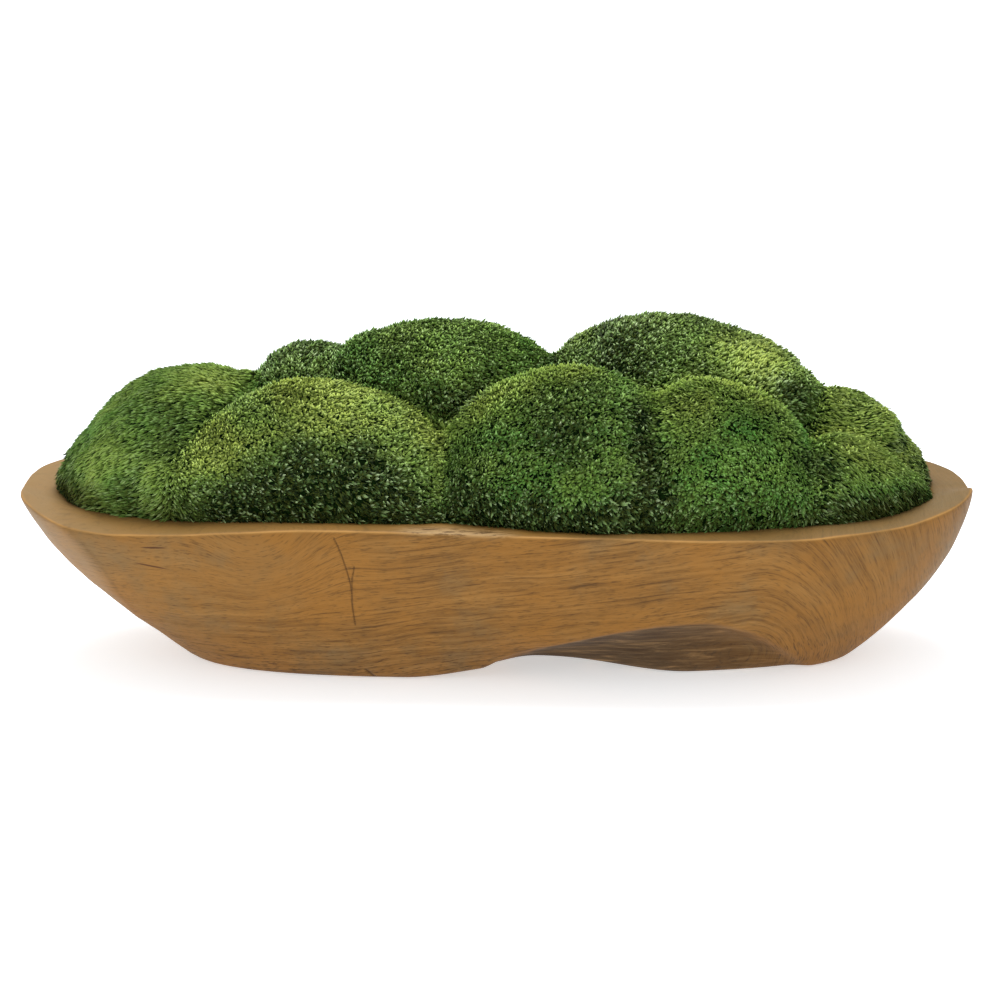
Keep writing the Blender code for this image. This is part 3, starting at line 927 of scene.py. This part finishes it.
def spill_over_rim(mesh, reach):
    """Pushes the moss's foot out onto the rim by uneven amounts."""
    points, normals = read_corners(mesh, "co"), read_corners(mesh, "normal")
    near = 1 - ease(inside_mouth(points) / SPILL_REACH)
    above = ease((above_rim(points) + SPILL_BELOW) / SPILL_RISE)
    uneven = 1 + SPILL_UNEVEN * noise_at(points * LEVEL, SPILL_NOISE)
    move_corners(mesh, points + normals * LEVEL * (near * above * reach * uneven)[:, None])


def voxel_shape(piece, face, steps):
    """Gives a closed piece an even net of faces and smooths it."""
    net = piece.modifiers.new("net", "REMESH")
    net.mode = "VOXEL"
    net.voxel_size = face
    melt = piece.modifiers.new("melt", "SMOOTH")
    melt.factor = 0.5
    melt.iterations = steps
    apply_modifiers(piece)


def tree_of(mesh):
    """A mesh's faces, ready for finding the nearest one."""
    return BVHTree.FromPolygons([v.co[:] for v in mesh.vertices], [p.vertices[:] for p in mesh.polygons])


def model_thatch(name, settings):
    """A clump's felted inside: its packed dome with the large tufts melted away, spilled over
    the rim, and swollen until it meets the clumps beside it."""
    thatch = copy_of_node(name, name + "_thatch")
    voxel_shape(thatch, settings.thatch_face, settings.melt_steps)
    mesh = thatch.data
    tuck_in(mesh)
    spill_over_rim(mesh, CLUMPS[name][-1])
    move_corners(mesh, read_corners(mesh, "co") + read_corners(mesh, "normal") * settings.swell)
    mesh.shade_smooth()
    return thatch


def model_skin(thatches, settings):
    """The surface over all the clumps together, with its creases filled to soft valleys and
    with small uneven lumps. The shoots stand on it, and it is removed afterwards."""
    copies = [link_piece("skin", thatch.data.copy()) for thatch in thatches.values()]
    skin = copies[0]
    select_only(skin)
    for copy in copies:
        copy.select_set(True)
    bpy.ops.object.join()
    voxel_shape(skin, settings.thatch_face, settings.valley_steps)
    add_lumps(skin, "lumps", settings.lump_size, settings.lump_height)
    points, normals = read_corners(skin.data, "co"), read_corners(skin.data, "normal")
    for x, y, z, radius, more in FULLER:
        away = np.linalg.norm(points - (x, y, z), axis=1)
        points += normals * (more * (1 - ease(away / radius)))[:, None]
    move_corners(skin.data, points)
    return skin


def raise_thatch(thatch, skin_tree, settings):
    """Lifts or lowers a clump's outside to just under the skin that all clumps share."""
    mesh = thatch.data
    points, normals = read_corners(mesh, "co"), read_corners(mesh, "normal")
    for i, (point, normal) in enumerate(zip(points, normals)):
        spot, out, _, away = skin_tree.find_nearest(Vector(point))
        outside = (Vector(point) - spot).dot(out) > 0
        if outside or (away < settings.crease_depth and out.dot(Vector(normal)) > CREASE_FACING):
            points[i] = spot - out * settings.thatch_sunk
    move_corners(mesh, points)


def model_leaf():
    """One moss leaf, one unit long from its root at the origin to its tip along Z: a slim grain
    of four faces with a keel, whose two wings are widest at its belly."""
    bpy.ops.object.select_all(action="DESELECT")
    bpy.ops.mesh.primitive_cone_add(vertices=3, radius1=LEAF_RADIUS, radius2=0, depth=1, location=(0, 0, 0.5))
    leaf = bpy.context.object
    bpy.ops.object.transform_apply(location=True, rotation=False, scale=False)
    for side, shift in ((1, (0, -LEAF_RADIUS, 0)), (-1, (0, (LEAF_RADIUS - 1) / 2, LEAF_BELLY))):
        bpy.ops.object.mode_set(mode="EDIT")
        bpy.ops.mesh.select_mode(type="VERT")
        bpy.ops.mesh.select_all(action="DESELECT")
        bpy.ops.object.mode_set(mode="OBJECT")
        for corner in leaf.data.vertices:
            corner.select = corner.co.z < 0.1 and corner.co.y * side > 0.1
        bpy.ops.object.mode_set(mode="EDIT")
        bpy.ops.transform.translate(value=shift)
        bpy.ops.object.mode_set(mode="OBJECT")
    edit_all(leaf, bpy.ops.mesh.normals_make_consistent, inside=False)
    points = read_corners(leaf.data, "co")
    faces = np.array([list(face.vertices) for face in leaf.data.polygons])
    bpy.data.objects.remove(leaf)
    return points, faces


def turned(points, axis, angle):
    """Points turned about one of the three axes, Y the other way."""
    first, second = [i for i in range(3) if i != axis]
    moved = points.copy()
    cos, sin = math.cos(angle), math.sin(angle)
    moved[:, first] = points[:, first] * cos - points[:, second] * sin
    moved[:, second] = points[:, first] * sin + points[:, second] * cos
    return moved


def model_shoot(leaf, sort, settings, random):
    """One moss shoot: leaves in a fan round X, from flat ones outside to steep ones inside.
    Returns its corners, how near each is to a tip, each corner's tone, and its faces."""
    fan, low, high = sort
    corners, faces = leaf
    length, width, thick = settings.leaf_length, settings.leaf_width, settings.leaf_thickness
    made, near_tip, tones, made_faces = [], [], [], []
    for i in range(settings.leaves):
        steep = (i + random.uniform(0.1, 0.9)) / settings.leaves
        out = corners[:, 2]
        droop = settings.leaf_droop * random.uniform(0.5, 1.4) * out ** 2 * length
        points = np.stack([out * length, corners[:, 0] * width, corners[:, 1] * thick - droop], axis=1)
        points = turned(points * random.uniform(0.75, 1.25), 0, random.uniform(-0.7, 0.7))
        points = turned(points, 1, math.radians(low + (high - low) * steep))
        around = math.radians(fan) * (2 * ((i * GOLDEN_TURN + 0.2) % 1) - 1) * (1.2 - 0.5 * steep)
        points = turned(points, 2, around + random.uniform(-0.2, 0.2))
        apart = random.uniform(-0.5, 0.5, 2) * settings.shoot_gap
        made.append(points + [apart[0], apart[1], 0])
        near_tip.append(out)
        tones.append(np.full(len(points), random.uniform(0, 1)))
        made_faces.append(faces + i * len(points))
    return tuple(np.concatenate(part) for part in (made, near_tip, tones, made_faces))


def scatter(mesh, spacing, random):
    """Points spread evenly over a mesh, each with its normal."""
    mesh.calc_loop_triangles()
    count = len(mesh.loop_triangles)
    corners = np.empty(count * 3, int)
    mesh.loop_triangles.foreach_get("vertices", corners)
    corners = corners.reshape(-1, 3)
    points = read_corners(mesh, "co")[corners]
    smooth = read_corners(mesh, "normal")[corners]
    area = np.linalg.norm(np.cross(points[:, 1] - points[:, 0], points[:, 2] - points[:, 0]), axis=1) / 2
    per_shoot = spacing ** 2 * math.sqrt(3) / 2
    reached = np.cumsum(area / per_shoot * random.uniform(0.9, 1.1, count))
    chosen = np.repeat(np.arange(count), np.diff(np.floor(reached), prepend=0).astype(int))
    share = random.dirichlet((1.5, 1.5, 1.5), len(chosen))
    spots = np.einsum("nk,nkj->nj", share, points[chosen])
    normals = np.einsum("nk,nkj->nj", share, smooth[chosen])
    return spots, normals / np.linalg.norm(normals, axis=1)[:, None]


def clump_shares(spots, trees):
    """How much each spot takes after each clump, by how near its thatch is: nearly all after
    one clump, but after two at the seam between them."""
    away = np.array([[tree.find_nearest(Vector(spot))[3] for spot in spots] for tree in trees])
    shares = (away + SEAM_REACH) ** -4
    return shares / shares.sum(axis=0)


def patch_share(spots, patches):
    """How far each spot takes after the patch that it lies in, whose edge is soft."""
    share = np.zeros(len(spots))
    for x, y, z, radius, most in patches:
        away = np.linalg.norm(spots - (x, y, z), axis=1)
        share = np.maximum(share, most * (1 - ease(away / radius - PATCH_CORE)))
    return share


def comb(spots, normals, lie, unruly, random):
    """Three axes for each shoot: along the moss's lie, across it, and out of the clump."""
    swirl = noise_at(spots, SWIRL_NOISE) * (0.3 + 1.4 * unruly)
    swirl = swirl + random.normal(0, 0.05 + 0.5 * unruly, len(spots))
    lie = lie + COMB_SAG
    along = lie - normals * np.einsum("nj,nj->n", normals, lie)[:, None]
    along /= np.maximum(np.linalg.norm(along, axis=1), 1e-6)[:, None]
    across = np.cross(normals, along)
    forward = along * np.cos(swirl)[:, None] + across * np.sin(swirl)[:, None]
    return np.stack([forward, np.cross(normals, forward), normals], axis=2)


def grow_leaves(name, spots, normals, shares, shoots, settings, random):
    """All the shoots of one clump as one mesh, with the marks that its colours follow."""
    clumps = list(CLUMPS.values())
    lie = shares.T @ np.array([clump[0] for clump in clumps])
    warmth_and_light, age, loose, unruly, long = np.array([clump[1:6] for clump in clumps]).T @ shares
    seam = np.clip(2 * (1 - shares.max(axis=0)), 0, 1)
    bare, fresh = patch_share(spots, DARK_PATCHES), patch_share(spots, FRESH_PATCHES)

    # From 0 to 1: how steep and how low down the moss is, and how near its crest; and which
    # shoots are coarse, or thinned out
    slope = 1 - ease((normals[:, 2] - 0.05) / 0.7)
    low_down = (1 - ease((spots[:, 2] - RIM_HEIGHT) / SLOPE_REACH)) * slope
    crest = ease((normals[:, 2] - 0.35) / 0.4)
    coarse = np.clip(unruly, 0, 1) * (1 - fresh) * (1 - 0.6 * crest)
    thin = (0.5 * bare + 0.2 * loose * low_down + 0.25 * coarse) * (1 - seam)
    kept = random.uniform(0, 1, len(spots)) > thin
    axes = comb(spots, normals, lie, unruly, random)

    # How each shoot looks: old or young, warm or cool, with painted shade low on the front and painted light
    # near its crest, large or small, and combed or not
    patch = noise_at(spots, SHADE_NOISE)
    # Painted shade darkens the moss low on the steep front, and painted light brightens it near its crest, on
    # top of the shoot's age
    aged_and_shaded = age + 0.6 * low_down + bare - 0.7 * fresh - 0.35 * crest + 0.4 * patch
    aged_and_shaded = np.clip(aged_and_shaded + random.normal(0, 0.1, len(spots)), 0, 1.5)
    # Painted light also makes the crests yellower, on top of each clump's warmth
    warmth_and_light = np.clip(warmth_and_light * 0.6 + crest * 0.25 + fresh * 0.3, 0, 1)
    size = 0.8 + 0.25 * loose * slope + 0.15 * bare + 0.2 * coarse + 0.2 * fresh
    size = size * random.uniform(0.8, 1.15, len(spots))
    stretch = np.stack([long, 1 / long, np.ones(len(long))], axis=1)
    uneven = random.uniform(-0.6, 0.6, len(spots)) * (1 - 0.6 * fresh)
    depth = settings.root_depth * (0.9 + uneven)
    combed = random.uniform(0, 1, len(spots)) > np.maximum(unruly * 0.8, seam)
    kind = random.integers(0, SHOOTS_OF_A_SORT, len(spots)) + np.where(combed, SHOOTS_OF_A_SORT, 0)
    kind = np.where(kept, kind, len(shoots))

    # A copy of its modelled shoot at each spot, sunk in by its root
    points, faces, marks = [], [], []
    start = 0
    for number, (corners, near_tip, tone, shoot_faces) in enumerate(shoots):
        chosen = np.flatnonzero(kind == number)
        shaped = corners[None] * stretch[chosen, None]
        stood = np.einsum("nij,nkj->nki", axes[chosen], shaped) * size[chosen, None, None]
        placed = stood + (spots[chosen] - normals[chosen] * depth[chosen, None])[:, None, :]
        points.append(placed.reshape(-1, 3))
        shoot_tone = (random.uniform(0, 1, len(chosen))[:, None] + tone[None, :]) % 1
        marks.append((np.tile(near_tip, len(chosen)), shoot_tone.ravel(),
                      np.repeat(aged_and_shaded[chosen], len(corners)), np.repeat(warmth_and_light[chosen], len(corners))))
        offsets = start + np.arange(len(chosen)) * len(corners)
        faces.append((shoot_faces[None] + offsets[:, None, None]).reshape(-1, 3))
        start += len(chosen) * len(corners)
    mesh = bpy.data.meshes.new(name)
    mesh.from_pydata(np.concatenate(points), [], np.concatenate(faces))
    mesh.shade_smooth()
    write_marks(mesh, MOSS_MARKS, np.concatenate(marks, axis=1))
    return link_piece(name + "_grown", mesh)


def moss_leaves(settings):
    """Preserved cushion moss, dyed in its natural green: matte, velvety leaves, yellow-green at
    their tips, with painted shade between the shoots and low on the front, painted light on the
    crests and painted highlights on the palest leaves."""
    material, tree = start_material("cushion moss, preserved, with painted light and shade")
    place = add_node(tree, "TexCoord").outputs["Object"]
    tip, tone, aged_and_shaded, warmth_and_light = (
        add_node(tree, "Attribute", attribute_name=name).outputs["Fac"] for name in MOSS_MARKS)
    drift = add_node(tree, "TexNoise", (place, WARMTH_DRIFT, 2.0))
    drifted = add_node(tree, "Math", (warmth_and_light, drift), operation="ADD")
    warm = add_node(tree, "MapRange", (drifted, 0.55, 1.45))
    fresh = add_node(tree, "Mix", (warm, settings.green_hex, settings.lime_hex), data_type="RGBA")
    old = add_node(tree, "Mix", (tone, settings.deep_hex, settings.olive_hex), data_type="RGBA")
    leaf = add_node(tree, "Mix", (aged_and_shaded, fresh, old), data_type="RGBA")

    # Old moss, and moss in painted shade low on the front, is mostly dark with a few pale leaves; young moss,
    # and the crests in painted light, is even
    contrast = add_node(tree, "Math", (aged_and_shaded, 2.2, 1.0), operation="MULTIPLY_ADD")
    few = add_node(tree, "Math", (tone, contrast), operation="POWER")
    dimmest = add_node(tree, "MapRange", (aged_and_shaded, 0.0, 1.0, 1.0, 0.08))
    brightest = add_node(tree, "MapRange", (aged_and_shaded, 0.0, 1.0, 1.38, 2.2))
    bright = add_node(tree, "MapRange", (few, 0.0, 0.85, dimmest, brightest))
    lit = add_node(tree, "Mix", (1.0, leaf, bright), data_type="RGBA", blend_type="MULTIPLY")
    # Painted highlight: the palest leaves are mixed towards a pale colour that stands in for glints
    palest = add_node(tree, "MapRange", (aged_and_shaded, 0.0, 1.0, 0.25, 0.85))
    pale = add_node(tree, "MapRange", (few, 0.45, 0.95, 0.0, palest))
    lit_and_highlighted = add_node(tree, "Mix", (pale, lit, settings.pale_hex), data_type="RGBA")
    # Each leaf darkens towards its root: partly the real darker foot of a shoot, partly painted shade between
    # the shoots
    out = add_node(tree, "MapRange", (tip, 0.25, 0.80))
    root = add_node(tree, "Mix", (aged_and_shaded, settings.young_root_shade_hex, settings.root_shade_hex), data_type="RGBA")
    rooted_in_shade = add_node(tree, "Mix", (out, root, lit_and_highlighted), data_type="RGBA")
    shader = add_node(tree, "BsdfPrincipled", {
        "Base Color": rooted_in_shade, "Roughness": 0.5, "Specular IOR Level": 0.10,
        "Sheen Weight": 0.2, "Sheen Roughness": 0.4, "Sheen Tint": settings.sheen_hex})
    add_node(tree, "OutputMaterial", {"Surface": shader})
    return material


def moss_thatch(settings):
    """The dead stems that the shoots stand in, dyed dark green with them: felted, fibrous and
    dull, and darker still with painted shade, so that the gaps between the shoots look deep."""
    material, tree = start_material("moss thatch, dried, in painted shade")
    place = add_node(tree, "TexCoord").outputs["Object"]
    fibres = add_node(tree, "TexNoise", (place, THATCH_FIBRES, 3.0, 0.7))
    colour = add_node(tree, "ValToRGB", (fibres,), stops=(
        (0.35, settings.shade_hex), (0.70, settings.thatch_shade_hex)))
    felt = add_node(tree, "Bump", {"Strength": 1.0, "Distance": FELT_DEPTH, "Height": fibres})
    shader = add_node(tree, "BsdfPrincipled", {"Base Color": colour, "Roughness": 0.9,
                                               "Specular IOR Level": 0.05, "Normal": felt})
    add_node(tree, "OutputMaterial", {"Surface": shader})
    return material


class MossSettings(bpy.types.PropertyGroup):
    """Sizes and colours of the moss."""

    shoot_gap: FloatProperty(
        name="Shoot gap", description="Distance between neighbouring shoots",
        default=2.3 * MM, min=MM, unit="LENGTH")
    leaves: IntProperty(name="Leaves", description="Leaves on one shoot", default=3, min=3)
    leaf_length: FloatProperty(
        name="Leaf length", description="Length of a leaf from its root",
        default=5.6 * MM, min=MM, unit="LENGTH")
    leaf_width: FloatProperty(
        name="Leaf width", description="Width of a leaf at its belly, broader than life so that it shows",
        default=2.6 * MM, min=0.1 * MM, unit="LENGTH")
    leaf_thickness: FloatProperty(
        name="Leaf thickness", description="Twice how far the wings of a leaf hang below its keel",
        default=1.5 * MM, min=0.1 * MM, unit="LENGTH")
    leaf_droop: FloatProperty(
        name="Leaf droop", description="How far a tip bends down, as a share of its leaf", default=0.3, min=0)
    root_depth: FloatProperty(
        name="Root depth", description="How far the roots sit under the skin",
        default=1.8 * MM, min=0, unit="LENGTH")
    thatch_face: FloatProperty(
        name="Thatch face", description="Size of the thatch's faces",
        default=4.5 * MM, min=MM, unit="LENGTH")
    melt_steps: IntProperty(
        name="Melt steps", description="How often the packed tufts are smoothed away", default=10, min=1)
    swell: FloatProperty(
        name="Swell", description="How far the clumps swell to meet each other",
        default=1.2 * MM, unit="LENGTH")
    valley_steps: IntProperty(
        name="Valley steps", description="How often the creases are smoothed to valleys", default=14, min=1)
    crease_depth: FloatProperty(
        name="Crease depth", description="How deep a crease can be and still be filled",
        default=11 * MM, unit="LENGTH")
    lump_size: FloatProperty(
        name="Lump size", description="Width of the moss's small lumps",
        default=16 * MM, min=MM, unit="LENGTH")
    lump_height: FloatProperty(
        name="Lump height", description="How far the lumps rise", default=3.5 * MM, unit="LENGTH")
    thatch_sunk: FloatProperty(
        name="Thatch sunk", description="How far the thatch lies under the skin",
        default=1.6 * MM, unit="LENGTH")
    green_hex: StringProperty(name="Green", description="Cool green of young leaves", default="#5EA042")
    lime_hex: StringProperty(name="Lime", description="Warm yellow-green of young leaves", default="#B2C45A")
    deep_hex: StringProperty(name="Deep green", description="Dark green of old leaves", default="#265E1A")
    olive_hex: StringProperty(name="Olive", description="Paler olive of old leaves", default="#80A05E")
    # The palest leaves' colour is a painted highlight that stands in for glints
    pale_hex: StringProperty(name="Pale leaves", description="The palest leaves", default="#B6C69C")
    sheen_hex: StringProperty(
        name="Sheen", description="Velvety light on the moss seen edge on", default="#B4C860")
    # A shoot's dark foot is partly its own colour and partly painted shade between the shoots
    root_shade_hex: StringProperty(name="Root", description="Foot of an old shoot", default="#0A2204")
    young_root_shade_hex: StringProperty(name="Young root", description="Foot of a young shoot", default="#4A6828")
    # The thatch's colours are painted shade in the gaps between the shoots, over the dark dyed stems
    thatch_shade_hex: StringProperty(name="Thatch", description="Dead stems, dyed with the rest", default="#122A08")
    shade_hex: StringProperty(name="Shade", description="Gaps in the thatch", default="#061002")


class CENTERPIECE_OT_grow_moss(bpy.types.Operator):
    """Grow the nine clumps of moss on the foam"""

    bl_idname = "centerpiece.grow_moss"
    bl_label = "Grow Moss"

    def execute(self, context):
        settings = context.scene.centerpiece_moss
        random = np.random.default_rng(MOSS_SEED)
        leaf = model_leaf()
        sorts = [OPEN_SHOOT] * SHOOTS_OF_A_SORT + [COMBED_SHOOT] * SHOOTS_OF_A_SORT
        shoots = [model_shoot(leaf, sort, settings, random) for sort in sorts]

        thatches = {name: model_thatch(name, settings) for name in CLUMPS}
        skin = model_skin(thatches, settings)
        skin_tree = tree_of(skin.data)
        spots, normals = scatter(skin.data, settings.shoot_gap, random)
        grows = (spots[:, 2] > LOWEST_SHOOT) & (normals[:, 2] > STEEPEST)
        spots, normals = spots[grows], normals[grows]
        shares = clump_shares(spots, [tree_of(thatch.data) for thatch in thatches.values()])
        owner = np.argmax(shares, axis=0)
        bpy.data.objects.remove(skin)

        leafy, felted = moss_leaves(settings), moss_thatch(settings)
        for number, (name, thatch) in enumerate(thatches.items()):
            raise_thatch(thatch, skin_tree, settings)
            own = owner == number
            leaves = grow_leaves(name, spots[own], normals[own], shares[:, own], shoots, settings, random)
            set_material(leaves, leafy)
            set_material(thatch, felted)
            select_only(leaves)
            thatch.select_set(True)
            bpy.ops.object.join()
            show_piece(leaves, name)
        return {"FINISHED"}


# The stage

FLOOR_SIZE = 60
OVERHEAD_PLACE = (-0.1, 0.45, 1.5)
OVERHEAD_SIZE = 1.2
FRONT_PLACE = (-1.9, -1.9, 1.3)
FRONT_SIZE = 1.4
SOFTBOX_AIM = (0, 0, 0.1)
CAMERA_AIM = (0.0028, 0, 0.1228)
CAMERA_DISTANCE = 2.4
PHOTO_SPAN = 0.807
SENSOR = 36
WHITE = (1, 1, 1, 1)


class StageSettings(bpy.types.PropertyGroup):
    """Floor, light and camera."""

    look_down: FloatProperty(
        name="Look down", description="How steeply the camera looks down",
        default=math.radians(15), subtype="ANGLE")
    floor_hex: StringProperty(name="Floor", description="Colour of the floor", default="#EEF4FA")
    floor_glow: FloatProperty(
        name="Floor glow", description="How strongly the floor is lit from below", default=0.5, min=0)
    top_power: FloatProperty(
        name="Top light", description="Power of the large light overhead", default=26, min=0, unit="POWER")
    fill_power: FloatProperty(
        name="Front light", description="Power of the soft light from the front left",
        default=5, min=0, unit="POWER")
    sky: FloatProperty(name="Sky", description="Brightness of the white room", default=0.8, min=0)


def add_softbox(name, place, size, power):
    """A square light that points at the moss."""
    bpy.ops.object.light_add(type="AREA", location=place)
    light = bpy.context.object
    light.name = name
    light.data.size = size
    light.data.energy = power
    light.rotation_euler = (Vector(SOFTBOX_AIM) - Vector(place)).to_track_quat("-Z", "Y").to_euler()


def matte_floor(settings):
    """A light table's white acrylic, frosted: flat white without gloss, lit a little from below."""
    material, tree = start_material("acrylic, frosted white")
    shader = add_node(tree, "BsdfPrincipled", {
        "Base Color": settings.floor_hex, "Roughness": 0.9, "Specular IOR Level": 0.1,
        "Emission Color": WHITE, "Emission Strength": settings.floor_glow})
    add_node(tree, "OutputMaterial", {"Surface": shader})
    return material


class CENTERPIECE_OT_set_stage(bpy.types.Operator):
    """Lay the floor, hang the lights and aim the camera"""

    bl_idname = "centerpiece.set_stage"
    bl_label = "Set Stage"

    def execute(self, context):
        settings = context.scene.centerpiece_stage
        bpy.ops.object.select_all(action="DESELECT")
        bpy.ops.mesh.primitive_plane_add(size=FLOOR_SIZE, location=(0, 0, 0))
        floor = context.object
        floor.name = "acrylic_floor"
        floor.data.materials.append(matte_floor(settings))

        add_softbox("overhead softbox", OVERHEAD_PLACE, OVERHEAD_SIZE, settings.top_power)
        add_softbox("front softbox", FRONT_PLACE, FRONT_SIZE, settings.fill_power)
        world = bpy.data.worlds.new("white room")
        world.use_nodes = True
        room = world.node_tree.nodes["Background"].inputs
        room["Color"].default_value = WHITE
        room["Strength"].default_value = settings.sky
        context.scene.world = world
        context.scene.view_settings.view_transform = "Standard"

        down = settings.look_down
        place = Vector(CAMERA_AIM) + CAMERA_DISTANCE * Vector((0, -math.cos(down), math.sin(down)))
        bpy.ops.object.camera_add(location=place, rotation=(math.pi / 2 - down, 0, 0))
        camera = context.object
        camera.data.sensor_width = SENSOR
        camera.data.lens = SENSOR * CAMERA_DISTANCE / PHOTO_SPAN
        context.scene.camera = camera
        return {"FINISHED"}


class CENTERPIECE_PT_panel(bpy.types.Panel):
    """Lists the centerpiece's pieces in the sidebar"""

    bl_label = "Moss Centerpiece"
    bl_idname = "CENTERPIECE_PT_panel"
    bl_space_type = "VIEW_3D"
    bl_region_type = "UI"
    bl_category = "Centerpiece"

    def draw(self, context):
        for operator, name, _ in STEPS:
            box = self.layout.box()
            box.operator(operator.bl_idname)
            settings = getattr(context.scene, name)
            for setting in settings.__annotations__:
                box.prop(settings, setting)


# Each operator, its settings' name in the scene, and their class
STEPS = (
    (CENTERPIECE_OT_carve_trough, "centerpiece_trough", TroughSettings),
    (CENTERPIECE_OT_cut_foam, "centerpiece_foam", FoamSettings),
    (CENTERPIECE_OT_grow_moss, "centerpiece_moss", MossSettings),
    (CENTERPIECE_OT_set_stage, "centerpiece_stage", StageSettings),
)


def register():
    """Registers the settings, the operators and the panel."""
    for operator, name, group in STEPS:
        bpy.utils.register_class(group)
        setattr(bpy.types.Scene, name, PointerProperty(type=group))
        bpy.utils.register_class(operator)
    bpy.utils.register_class(CENTERPIECE_PT_panel)


def unregister():
    """Removes what register added."""
    bpy.utils.unregister_class(CENTERPIECE_PT_panel)
    for operator, name, group in STEPS:
        bpy.utils.unregister_class(operator)
        delattr(bpy.types.Scene, name)
        bpy.utils.unregister_class(group)


def main():
    """Registers the add-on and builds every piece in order."""
    register()
    bpy.ops.centerpiece.carve_trough()
    bpy.ops.centerpiece.cut_foam()
    bpy.ops.centerpiece.grow_moss()
    bpy.ops.centerpiece.set_stage()


if __name__ == "__main__":
    main()
